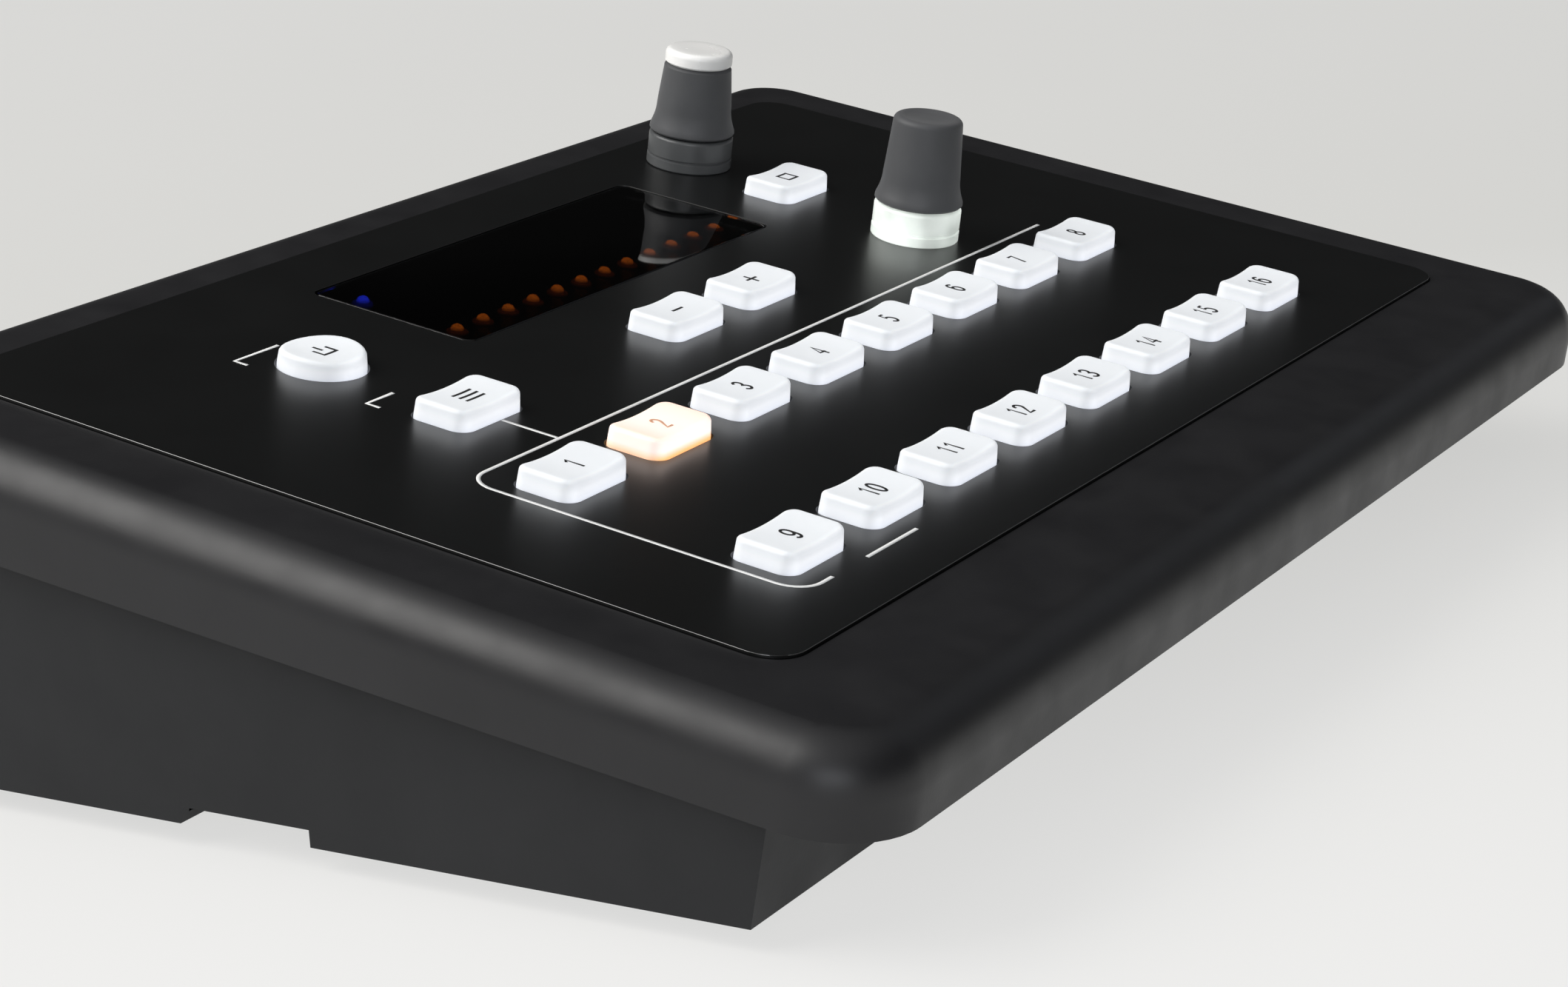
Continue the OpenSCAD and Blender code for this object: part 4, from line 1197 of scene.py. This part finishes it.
@dataclass
class KeySet:
    """The 21 silicone keys, with what is printed on them.

    Attributes:
        dip_start: Share of the wall's height at which the hollow begins to bend it.
        bare_mm: Height above which a packed key shows its own outline.
        stem_mm: Height below which a packed key is only its stem.
        flange_foot_mm: Lowest that a flange's underside may lie.
        figure_share: Width of a figure against its drawn width.
        figure_step: Step from one figure to the next, in drawn widths.
        lamp_start: Share of half the depth from which the front wall gets painted light.
        lamp_fade: Share over which that painted light comes up.
        lit: The key over the orange lamp.
    """

    bench: Bench
    pen: Pen
    draft_mm: float = 0.15
    fillet_mm: float = 0.7
    corner_mm: float = 2.0
    inner_corner_mm: float = 0.35
    scoop_mm: float = 0.6
    dip_start: float = 0.3
    skirt_mm: float = 1.5
    flange_mm: float = 1.0
    flange_step_mm: float = 0.05
    bare_mm: float = 0.2
    stem_mm: float = -3.2
    flange_foot_mm: float = -2.85
    numeral_mm: float = 2.85
    figure_share: float = 0.8
    figure_step: float = 0.8
    stroke_mm: float = 0.4
    ink_mm: float = 0.03
    lamp_start: float = 0.76
    lamp_fade: float = 0.2
    channels: int = 16
    lit: str = "key_02"

    def names(self) -> list[str]:
        """List the channel keys and then the function keys."""
        channels = [f"key_{i:02d}" for i in range(1, self.channels + 1)]
        return channels + ["recall_key", "left_function_key", "right_function_key", "upper_key", "round_key"]

    def dip(self, x: float, half_w: float) -> float:
        """Give the depth of the hollow at a place across the key."""
        return self.scoop_mm * max(0.0, 1.0 - (x / half_w) ** 2)

    def shape(self, half_w: float, half_d: float, foot: float, top: float, radius: float) -> Shell:
        """Shape one key: a flange under the plate, drafted sides, rounded edges and a hollow top.

        Args:
            half_w: Half the key's width.
            half_d: Half its depth.
            foot: Height of its flange's underside.
            top: Height of its ends.
            radius: Corner radius in plan.

        Returns:
            The closed mesh, about the key's middle, with height and painted_front_light attributes; the
            second marks the front wall, where painted light is added.
        """
        draft, fillet, brim = self.draft_mm, self.fillet_mm, foot + self.flange_mm
        rise, inner, start = top - fillet, -draft - fillet, self.dip_start
        levels = [(foot, self.skirt_mm), (brim, self.skirt_mm)]
        levels += [(brim + self.flange_step_mm, 0.0), (0.0, 0.0)]
        levels += [(rise * k / 4, -draft * k / 4) for k in range(1, 4)]
        levels += [(rise + b, inner + a) for a, b in arc(0.0, 0.0, fillet, 0, 90, 7)]

        def outline(grow: float) -> list[Spot]:
            """Walk round the key, grown or drawn in."""
            return rounded_ring(half_w + grow, half_d + grow, max(radius + grow, self.inner_corner_mm))

        rings: list[Ring] = []
        for n, grow in levels:
            share = min(max((n - start * rise) / ((1 - start) * rise), 0.0), 1.0)
            blend = share * share * (3 - 2 * share)
            rings.append([(x, y, n - blend * self.dip(x, half_w)) for x, y in outline(grow)])
        for share in (0.86, 0.7, 0.52, 0.34, 0.16, 0.03):
            spots = [(x * share, y * share) for x, y in outline(inner)]
            rings.append([(x, y, top - self.dip(x, half_w)) for x, y in spots])
        shell = loft(rings)
        height, near = (shell.verts.layers.float.new(name) for name in ("height", "painted_front_light"))
        for vert in shell.verts:
            vert[height] = min(max(vert.co.z / top, 0.0), 1.0)
            # Painted light: the glow grows towards the front wall, which the lamps light less.
            vert[near] = min(max((-vert.co.y / half_d - self.lamp_start) / self.lamp_fade, 0.0), 1.0)
        return shell

    def figure(self, sign: str) -> list[list[Spot]]:
        """Give the pen strokes of one figure, one unit tall and 0.56 wide.

        Args:
            sign: The figure.

        Returns:
            Its strokes.
        """
        loop = arc(0.28, 0.68, 0.27, 0, 360, 24, 0.32)
        tail = [(0.55, 0.68)] + arc(0.27, 0.32, 0.28, 8, -140, 12, 0.32)
        upper = arc(0.27, 0.755, 0.24, 160, -90, 16, 0.245)
        lower = arc(0.27, 0.255, 0.27, 90, -160, 16, 0.255)
        strokes: dict[str, list[list[Spot]]] = {
            "0": [arc(0.28, 0.5, 0.27, 0, 360, 28, 0.5)],
            "1": [[(0.06, 0.8), (0.3, 1.0), (0.3, 0.0)]],
            "2": [arc(0.28, 0.74, 0.25, 175, -38, 14, 0.26) + [(0.02, 0.0), (0.55, 0.0)]],
            "3": [upper + lower[1:]],
            "4": [[(0.42, 0.0), (0.42, 1.0), (0.0, 0.3), (0.56, 0.3)]],
            "5": [[(0.5, 1.0), (0.14, 1.0)] + arc(0.27, 0.32, 0.28, 128, -150, 16, 0.32)],
            "6": [[(0.56 - x, 1.0 - y) for x, y in stroke] for stroke in (loop, tail)],
            "7": [[(0.02, 1.0), (0.54, 1.0), (0.2, 0.0)]],
            "8": [arc(0.28, 0.76, 0.22, 0, 360, 22, 0.24), arc(0.28, 0.26, 0.27, 0, 360, 24, 0.26)],
            "9": [loop, tail],
        }
        return strokes[sign]

    def numeral(self, text: str, ink: Finish) -> Mesh:
        """Draw a plain numeral as thin strips, its middle at the origin.

        Args:
            text: The numeral.
            ink: Its ink.

        Returns:
            The mesh, in millimetres.
        """
        wide, tall = self.figure_share * self.numeral_mm, self.numeral_mm
        lines = [
            [((x + self.figure_step * place) * wide, y * tall) for x, y in stroke]
            for place, sign in enumerate(text)
            for stroke in self.figure(sign)
        ]
        mesh = self.pen.draw("numeral_" + text, lines, ink, self.stroke_mm, 2 * self.ink_mm)
        xs, ys = ([v.co[i] for v in mesh.vertices] for i in range(2))
        mesh.transform(Matrix.Translation((-(min(xs) + max(xs)) / 2, -(min(ys) + max(ys)) / 2, 0.0)))
        return mesh

    def sign(self, name: str) -> Mesh:
        """Draw a plain geometric sign for a function key as thin closed slabs.

        Args:
            name: Name of the key.

        Returns:
            The mesh, in millimetres.
        """
        bars: list[tuple[float, float, float, float]] = {
            "recall_key": [(-2.0, 0.9, 2.0, 1.3), (-2.0, -0.2, 2.0, 0.2), (-2.0, -1.3, 2.0, -0.9)],
            "left_function_key": [(-1.3, -0.2, 1.3, 0.2)],
            "right_function_key": [
                (-1.3, -0.2, 1.3, 0.2), (-0.2, 0.25, 0.2, 1.3), (-0.2, -1.3, 0.2, -0.25),
            ],
            "upper_key": [
                (-1.5, 0.9, 1.5, 1.3), (-1.5, -1.3, 1.5, -0.9),
                (-1.5, -0.85, -1.1, 0.85), (1.1, -0.85, 1.5, 0.85),
            ],
            "round_key": [
                (-0.2, 0.1, 0.2, 1.7), (-1.5, -1.4, 1.5, -1.0),
                (-1.5, -0.95, -1.1, 0.7), (1.1, -0.95, 1.5, 0.7),
            ],
        }[name]
        shell, step_mm, ink = bmesh.new(), 0.5, self.ink_mm
        for x0, y0, x1, y1 in bars:
            steps = max(int((x1 - x0) / step_mm), 1)
            for k in range(steps):
                a, b = x0 + (x1 - x0) * k / steps, x0 + (x1 - x0) * (k + 1) / steps
                corners = [(a, y0), (b, y0), (b, y1), (a, y1)]
                low, high = ([shell.verts.new((x, y, n)) for x, y in corners] for n in (-ink, ink))
                shell.faces.new(list(reversed(low)))
                shell.faces.new(high)
                for i in range(4):
                    if (k > 0 and i == 3) or (k < steps - 1 and i == 1):
                        continue
                    j = (i + 1) % 4
                    shell.faces.new((low[i], low[j], high[j], high[i]))
        bmesh.ops.remove_doubles(shell, verts=shell.verts, dist=1e-5)
        return to_mesh(shell, name + "_sign")

    def build(self) -> None:
        """Make every key and print its numeral or its sign on it."""
        bench, panel = self.bench, self.bench.panel
        for number, name in enumerate(self.names(), 1):
            low, high = panel.extent(name, self.bare_mm)
            foot = max(panel.extent(name, self.stem_mm)[0].z, self.flange_foot_mm)
            half_w, half_d = (high.x - low.x) / 2, (high.y - low.y) / 2
            radius = half_d if name == "round_key" else self.corner_mm
            place, body = panel.centred(low, high), name + "_body"
            rubber, ink = Finish.KEY, Finish.BLACK_INK
            if name == self.lit:
                rubber, ink = Finish.LIT_KEY, Finish.LIT_INK
            cap = to_mesh(self.shape(half_w, half_d, foot, high.z, radius), name + "_cap", 50.0)
            bench.add(name + "_cap", cap, rubber, name, body, place)
            mark = self.numeral(str(number), ink) if number <= self.channels else self.sign(name)
            for vert in mark.vertices:
                vert.co.z += high.z - self.dip(vert.co.x, half_w)
            bench.add(name + "_print", mark, ink, "", body, place)


@dataclass
class Knob:
    """A rotary knob on its light ring.

    Attributes:
        name: Name of the control, level or master.
        ring_finish: Finish of the light ring.
        capped: True where it carries a white cap.
        brow_mm: Height at which its foot begins to flare in, over flare_h_mm.
        waist_mm: Height at which its straight upper part begins.
        crown_mm: How much smaller its radius is at the top than at the foot.
        roof_mm: Thickness of its top, capped_roof_mm where it carries a cap.
        steps: Steps round its axis.
        crease_deg: Edges that turn further than this stay sharp.
    """

    bench: Bench
    name: str
    ring_finish: Finish
    capped: bool = False
    edge_mm: float = 0.9
    wall_mm: float = 1.2
    bore_mm: float = 3.05
    flare_mm: float = 0.85
    flare_h_mm: float = 3.6
    brow_mm: float = 0.7
    waist_mm: float = 5.6
    crown_mm: float = 1.45
    roof_mm: float = 2.4
    capped_roof_mm: float = 2.0
    steps: int = 96
    crease_deg: float = 32.0

    def turned(self, name: str, profile: Sequence[Spot], closed: bool = False) -> Mesh:
        """Turn a profile in fine steps."""
        return to_mesh(lathe(profile, self.steps, closed), name, self.crease_deg)

    def build(self) -> None:
        """Turn the knob, its ring and, where it has one, its cap."""
        node = f"{self.name}_knob"
        low, high = self.bench.panel.extent(node)
        place = self.bench.panel.centred(low, high)
        foot, top, base_r, edge = low.z, high.z, (high.x - low.x) / 2, self.edge_mm
        neck_r, top_r, brow = base_r - self.flare_mm, base_r - self.crown_mm, foot + self.brow_mm
        roof = top - (self.capped_roof_mm if self.capped else self.roof_mm)
        profile = [(0.4, roof), (self.bore_mm, roof), (self.bore_mm, foot)]
        profile += [(base_r - 0.3, foot), (base_r, foot + 0.3), (base_r - 0.03, brow)]
        for share in (k / 6 for k in range(1, 6)):
            profile.append((base_r - self.flare_mm * (1 - (1 - share) ** 2), brow + self.flare_h_mm * share))
        profile += [(neck_r, brow + self.flare_h_mm), (neck_r - 0.1, foot + self.waist_mm)]
        if self.capped:
            profile += [(top_r + 0.02, top - 0.5), (top_r - 0.4, top - 0.1), (top_r - 0.7, top), (1.0, top)]
        else:
            profile += arc(top_r - edge, top - edge, edge, 0, 84, 6)
            profile += [(top_r - edge - 0.5, top), (top_r - edge - 0.8, top - 0.16), (1.0, top - 0.2)]
        body, mesh = f"{self.name}_control", self.turned(f"{self.name}_grip", profile)
        self.bench.add(node + "_grip", mesh, Finish.KNOB, node, body, place)
        self.ring(place)
        if self.capped:
            self.cap(place, top_r)

    def ring(self, place: Matrix) -> None:
        """Turn the light ring round the knob's foot.

        Args:
            place: Matrix of the knob's axis.
        """
        node = f"{self.name}_collar"
        low, high = self.bench.panel.extent(node)
        r, h = (high.x - low.x) / 2, high.z
        bore = r - self.wall_mm
        profile = [(bore, 0.02), (r - 0.15, 0.02), (r, 0.2), (r, 1.5), (r - 0.3, 1.65), (r - 0.3, 1.85)]
        profile += [(r - 0.05, 2.0), (r - 0.05, h - 0.5)] + arc(r - 0.55, h - 0.5, 0.5, 15, 90, 5)
        mesh = self.turned(node, profile + [(bore, h)], closed=True)
        self.bench.add(f"{self.name}_light_ring", mesh, self.ring_finish, node, place=place)

    def cap(self, place: Matrix, radius: float) -> None:
        """Turn the white cap on the knob's top.

        Args:
            place: Matrix of the knob's axis.
            radius: Radius of the cap.
        """
        low, high = self.bench.panel.extent("master_cap")
        foot, top, edge = low.z + 1.2, high.z, self.edge_mm
        profile = [(0.3, foot), (radius - 0.3, foot), (radius, foot + 0.3), (radius, top - edge)]
        profile += arc(radius - edge, top - edge, edge, 12, 88, 6)
        profile += [(radius * 0.6, top), (radius * 0.3, top - 0.04), (radius * 0.15, top - 0.05)]
        mesh = self.turned("master_top", profile)
        self.bench.add("master_knob_top", mesh, Finish.CAP, "master_cap", "master_control", place)


@dataclass
class MeterWindow:
    """The smoked window and the lamps behind it.

    Attributes:
        face_mm: Height above which a packed window is only its face.
        blue_lamp: Place of the blue lamp, across from the key rows' middle and up the panel.
    """

    bench: Bench
    copies: Copies
    edge_mm: float = 0.35
    corner_mm: float = 1.5
    face_mm: float = -0.1
    flange_mm: float = 1.5
    flange_corner_mm: float = 4.0
    lamps: int = 13
    lamp_r_mm: float = 1.5
    lens_mm: float = 0.95
    blue_lamp: Spot = (-29.6, 109.3)

    def build(self) -> None:
        """Polish the window's edges and set out the lamps."""
        panel, edge, corner = self.bench.panel, self.edge_mm, self.corner_mm
        low, high = panel.extent("display_window", self.face_mm)
        lip_low, lip_high = panel.extent("display_window")
        half_w, half_d = (high.x - low.x) / 2, (high.y - low.y) / 2
        lip = ((lip_high.x - lip_low.x) / 2, (lip_high.y - lip_low.y) / 2, self.flange_corner_mm)
        foot, brim, bend = lip_low.z, lip_low.z + self.flange_mm, high.z - edge
        levels = [(foot, *lip), (brim, *lip), (brim, half_w, half_d, corner), (bend, half_w, half_d, corner)]
        for a, b in arc(0.0, 0.0, edge, 15, 90, 5):
            levels.append((bend + b, half_w - edge + a, half_d - edge + a, corner))
        rings = [[(x, y, n) for x, y in rounded_ring(w, d, r)] for n, w, d, r in levels]
        mesh, place = to_mesh(loft(rings), "window_glass", 30.0), panel.centred(low, high)
        self.bench.add("window_glass", mesh, Finish.WINDOW, "display_window", place=place)
        self.meter()

    def meter(self) -> None:
        """Set out the row of orange lamps and the blue one."""
        panel, r = self.bench.panel, self.lamp_r_mm
        low, high = panel.extent("meter_leds")
        height, v = high.z - low.z, (low.y + high.y) / 2
        step = (high.x - low.x - 2 * r) / (self.lamps - 1)
        row = [(low.x + r + step * k, v, low.z) for k in range(self.lamps)]
        blue = [(panel.keys_middle() + self.blue_lamp[0], self.blue_lamp[1], low.z)]
        set_out = self.copies.set_out
        set_out("meter_lamps", self.lamp(height), row, Finish.LAMP, "meter_leds", panel.place)
        set_out("blue_lamp", self.lamp(height), blue, Finish.BLUE_LAMP, place=panel.place)

    def lamp(self, height: float) -> Shell:
        """Shape one lamp: a flat base with a domed lens.

        Args:
            height: Height of the lens.

        Returns:
            The closed mesh, with a height attribute.
        """
        r, brim = self.lamp_r_mm, 0.3 * height
        dome = arc(0.0, brim, self.lens_mm, 0, 87, 7, height - brim)
        shell = lathe([(0.05, 0.0), (r, 0.0), (r, brim - 0.1), (r - 0.1, brim)] + dome, 32)
        layer = shell.verts.layers.float.new("height")
        for vert in shell.verts:
            vert[layer] = vert.co.z / height
        return shell


@dataclass
class PanelPrint:
    """White lines printed on the plate: the frame round the numbered keys and brackets by other keys."""

    bench: Bench
    pen: Pen
    width_mm: float = 0.54
    ink_mm: float = 0.06
    left_x: float = -79.6
    front_v: float = 8.4
    back_v: float = 56.4
    corner_mm: float = 4.0

    def paths(self) -> list[list[Spot]]:
        """List the lines.

        Returns:
            Points of each line, across from the key rows' middle and up the panel.
        """
        x, f, b, r = self.left_x, self.front_v, self.back_v, self.corner_mm
        frame = [(-73.1, f)] + arc(x + r, f + r, r, 270, 180, 8) + arc(x + r, b - r, r, 180, 90, 8)
        return [
            frame + [(-x - r, b)],
            [(-64.8, f), (-52.4, f)],
            [(-59.2, b + 0.35), (-59.2, 65.2)],
            [(-67.2, 99.9), (-67.2, 102.0), (-58.2, 102.0)],
            [(-67.1, 78.6), (-67.1, 80.7), (-61.5, 80.7)],
        ]

    def build(self) -> None:
        """Lay a strip of ink along each line."""
        middle = self.bench.panel.keys_middle()
        lines = [[(middle + x, v) for x, v in path] for path in self.paths()]
        mesh = self.pen.draw("printed_lines", lines, Finish.WHITE_INK, self.width_mm, self.ink_mm)
        self.bench.add("printed_lines", mesh, Finish.WHITE_INK, place=self.bench.panel.place)


@dataclass
class Sockets:
    """The sockets along the back, with their contacts, and the nut on the headphone jack.

    Attributes:
        mouth_mm: From a network socket's outer side to the middle of its mouth.
        roof_mm: From the middle of its height up to the roof of its mouth.
        inset_mm: From its face back to the springs' front ends.
    """

    bench: Bench
    copies: Copies
    contacts: int = 8
    contact_pitch_mm: float = 1.02
    contact_mm: Spot = (0.4, 0.24)
    mouth_mm: float = 8.0
    roof_mm: float = 4.0
    inset_mm: float = 3.0

    def build(self) -> None:
        """Round the shells' edges and set springs in the network sockets."""
        for node, finish, edge_mm in (
            ("network_sockets", Finish.SHELL, 0.3),
            ("usb_socket", Finish.SHELL, 0.25),
            ("headphone_jack", Finish.SOCKET, 0.25),
            ("mini_jack", Finish.SOCKET, 0.2),
            ("dc_inlet", Finish.SOCKET, 0.2),
            ("jack_nut", Finish.STEEL, 0.25),
        ):
            self.bench.rounded(node + "_shell", node, finish, edge_mm, 2)
        self.springs()

    def springs(self) -> None:
        """Set a row of gold springs in each network socket, sloping down into its mouth."""
        low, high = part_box("network_sockets")
        pitch, mouth = self.contact_pitch_mm * MM, self.mouth_mm * MM
        start = -(self.contacts - 1) * pitch / 2
        front, roof = high[1] - self.inset_mm * MM, (low[2] + high[2]) / 2 + self.roof_mm * MM
        points = [
            (x + start + k * pitch, front, roof)
            for x in (low[0] + mouth, high[0] - mouth)
            for k in range(self.contacts)
        ]
        w, t = (size / 2 for size in self.contact_mm)
        section = ((w, -t), (w, t), (-w, t), (-w, -t))
        path = ((0.0, 0.0), (-3.0, -0.9), (-7.0, -2.6), (-9.0, -2.9), (-10.9, -2.4))
        rings = [[(dx * MM, y * MM, (z + dz) * MM) for dx, dz in section] for y, z in path]
        self.copies.set_out("socket_springs", loft(rings), points, Finish.GOLD)


@dataclass
class StandBush:
    """The threaded bush that takes a stand, seen from below."""

    bench: Bench
    edge_mm: float = 0.4
    bore_mm: float = 3.97
    pitch_mm: float = 1.5875
    ridge_mm: float = 0.42
    lead_in_mm: float = 0.8

    def build(self) -> None:
        """Round the bush's edges and wind the thread inside it."""
        self.bench.rounded("stand_bush_turned", "stand_bush", Finish.STEEL, self.edge_mm)
        low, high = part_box("stand_bush")
        inputs = {
            "Radius": self.bore_mm * MM,
            "Pitch": self.pitch_mm * MM,
            "Turns": float(math.floor((high[2] - low[2]) / (self.pitch_mm * MM)) - 1),
            "Ridge": self.ridge_mm * MM,
            "Material": self.bench.material(Finish.STEEL),
        }
        start = points_mesh("stand_thread_start", [(0.0, 0.0, 0.0)])
        mesh = evaluate("stand_thread", start, thread_tree(), inputs)
        centre = ((low[0] + high[0]) / 2, (low[1] + high[1]) / 2, low[2] + self.lead_in_mm * MM)
        self.bench.add("stand_thread", mesh, Finish.STEEL, place=Matrix.Translation(centre))


@dataclass
class Insides:
    """What the closed case holds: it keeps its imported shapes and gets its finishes."""

    bench: Bench

    def build(self) -> None:
        """Dress the boards, the switches, the controls and the links."""
        dress = self.bench.dress
        dress(Finish.BOARD, "control_board", "main_board")
        dress(Finish.STEEL, "control_standoffs", "control_board_screws")
        dress(Finish.STEEL, "main_standoffs", "main_board_screws")
        dress(Finish.STEEL, "level_encoder", "level_shaft", "master_pot", "master_shaft", "control_nuts")
        dress(Finish.SOCKET, "key_switches", "meter_module", "power_module", "link_headers")
        dress(Finish.LED, "key_leds")
        dress(Finish.RIBBON, "ribbon_cable")


@dataclass(frozen=True)
class SoftBox:
    """A soft area lamp.

    Attributes:
        name: Its name.
        place: Where it hangs, in metres.
        target_h: Height over the floor's middle of what it faces.
        size: Its width and height.
        watts: Its power.
        colour: Its colour, sRGB hex.
    """

    name: str
    place: Point
    target_h: float
    size: Spot
    watts: float
    colour: str

    def hang(self, scene: bpy.types.Scene) -> None:
        """Hang it in the scene.

        Args:
            scene: The scene.
        """
        data = bpy.data.lights.new(self.name, "AREA")
        data.shape, data.energy, data.color = "RECTANGLE", self.watts, linear(self.colour)[:3]
        data.size, data.size_y = self.size
        lamp = bpy.data.objects.new(self.name, data)
        lamp.location = self.place
        aim = Vector((0.0, 0.0, self.target_h)) - Vector(self.place)
        lamp.rotation_euler = aim.to_track_quat("-Z", "Y").to_euler()
        scene.collection.objects.link(lamp)


@dataclass
class Studio:
    """Pale floor, soft light and the camera.

    Attributes:
        camera_mm: Place of the camera.
        camera_deg: Turn of the camera about x, y and z.
        lens_mm: Focal length on a sensor 36 mm wide.
        floor_half_m: Half the floor's side.
        sky: Height and brightness of each band of the room, from the floor up.
        left_gain: Strength of the room's light from the left.
        right_gain: Strength of the room's light from the right.
        boxes: The lamps.
    """

    camera_mm: Point = (-411.914, -248.757, 153.293)
    camera_deg: Point = (73.98261, 2.94528, -59.46415)
    lens_mm: float = 80.38
    floor_half_m: float = 14.0
    sky: tuple[Spot, ...] = ((0.0, 0.6), (0.1, 0.45), (0.22, 0.05), (0.6, 0.03), (0.9, 0.95))
    left_gain: float = 1.25
    right_gain: float = 0.25
    boxes: tuple[SoftBox, ...] = (
        SoftBox("window_light", (-0.7, 0.88, 1.2), 0.05, (1.5, 1.2), 29.0, "fffdfa"),
        SoftBox("front_fill", (-1.35, -0.85, 0.6), 0.04, (0.9, 0.7), 8.0, "f6f9ff"),
        SoftBox("edge_fill", (1.2, -0.5, 0.75), 0.04, (0.9, 0.7), 0.5, "f2f7ff"),
    )

    def build(self) -> None:
        """Set up the view, the floor, the room's light and the lamps."""
        scene = bpy.context.scene
        scene.view_settings.view_transform = "Standard"
        self.camera(scene)
        self.floor(scene)
        self.room(scene)
        for box in self.boxes:
            box.hang(scene)

    def camera(self, scene: bpy.types.Scene) -> None:
        """Stand the camera where the photograph was taken from.

        Args:
            scene: The scene.
        """
        data = bpy.data.cameras.new("camera")
        data.lens, data.sensor_width, data.sensor_fit = self.lens_mm, 36.0, "HORIZONTAL"
        data.clip_start, data.clip_end = 0.01, 60.0
        camera = bpy.data.objects.new("camera", data)
        camera.location = [c * MM for c in self.camera_mm]
        camera.rotation_euler = [math.radians(a) for a in self.camera_deg]
        scene.collection.objects.link(camera)
        scene.camera = camera

    def floor(self, scene: bpy.types.Scene) -> None:
        """Lay the floor under the feet.

        Args:
            scene: The scene.
        """
        h, turn = self.floor_half_m, math.radians(-self.camera_deg[2])
        ahead = (math.sin(turn), math.cos(turn), 0.0)
        # Matt white paper: even and pale, with a trace of mottle. The tone the camera sees is paler near the
        # front and darker further back: a painted falloff of light.
        paper = Paper("matt_paper", "", "dedddb", "dbdad8", 0.9, 1.0, 0.002, patch_mm=400.0, ahead=ahead)
        mesh = bpy.data.meshes.new("floor")
        mesh.from_pydata([(-h, -h, 0), (h, -h, 0), (h, h, 0), (-h, h, 0)], [], [(0, 1, 2, 3)])
        mesh.materials.append(paper.build())
        floor = bpy.data.objects.new("floor", mesh)
        scene.collection.objects.link(floor)

    def room(self, scene: bpy.types.Scene) -> None:
        """Light the room: pale near the floor, dark above it, pale again overhead, and paler to the left.

        Args:
            scene: The scene.
        """
        world = bpy.data.worlds.new("room")
        scene.world = world
        world.use_nodes = True
        tree = world.node_tree
        tree.nodes.clear()
        coords = add_node(tree, "ShaderNodeTexCoord")
        ways = add_node(tree, "ShaderNodeSeparateXYZ", {"Vector": coords.outputs["Generated"]}).outputs
        bands = [(height, (level, level, level, 1.0)) for height, level in self.sky]
        sides = {"Value": ways["X"], "From Min": -1.0, "From Max": 0.8}
        sides |= {"To Min": self.left_gain, "To Max": self.right_gain}
        glow = {
            "Color": add_node(tree, "ShaderNodeValToRGB", {0: ways["Z"]}, bands),
            "Strength": add_node(tree, "ShaderNodeMapRange", sides),
        }
        add_node(tree, "ShaderNodeOutputWorld", {"Surface": add_node(tree, "ShaderNodeBackground", glow)})


def main() -> None:
    """Build the mixer's looks, sub-assembly by sub-assembly."""
    logging.basicConfig(level=logging.INFO, format="%(name)s: %(message)s")
    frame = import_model()
    axis = next(Vector(j["axis"]) for j in frame["joints"] if j["type"] == "slide")
    bench = Bench(frame, Panel(frame["nodes"], math.atan2(axis.y, -axis.z)))
    copies = Copies(bench, copies_tree())
    Studio().build()
    Case(bench, copies).build()
    pen = Pen(bench, strip_tree())
    KeySet(bench, pen).build()
    Knob(bench, "level", Finish.COLLAR).build()
    Knob(bench, "master", Finish.DULL_COLLAR, capped=True).build()
    MeterWindow(bench, copies).build()
    PanelPrint(bench, pen).build()
    Sockets(bench, copies).build()
    StandBush(bench).build()
    Insides(bench).build()


if __name__ == "__main__":
    main()
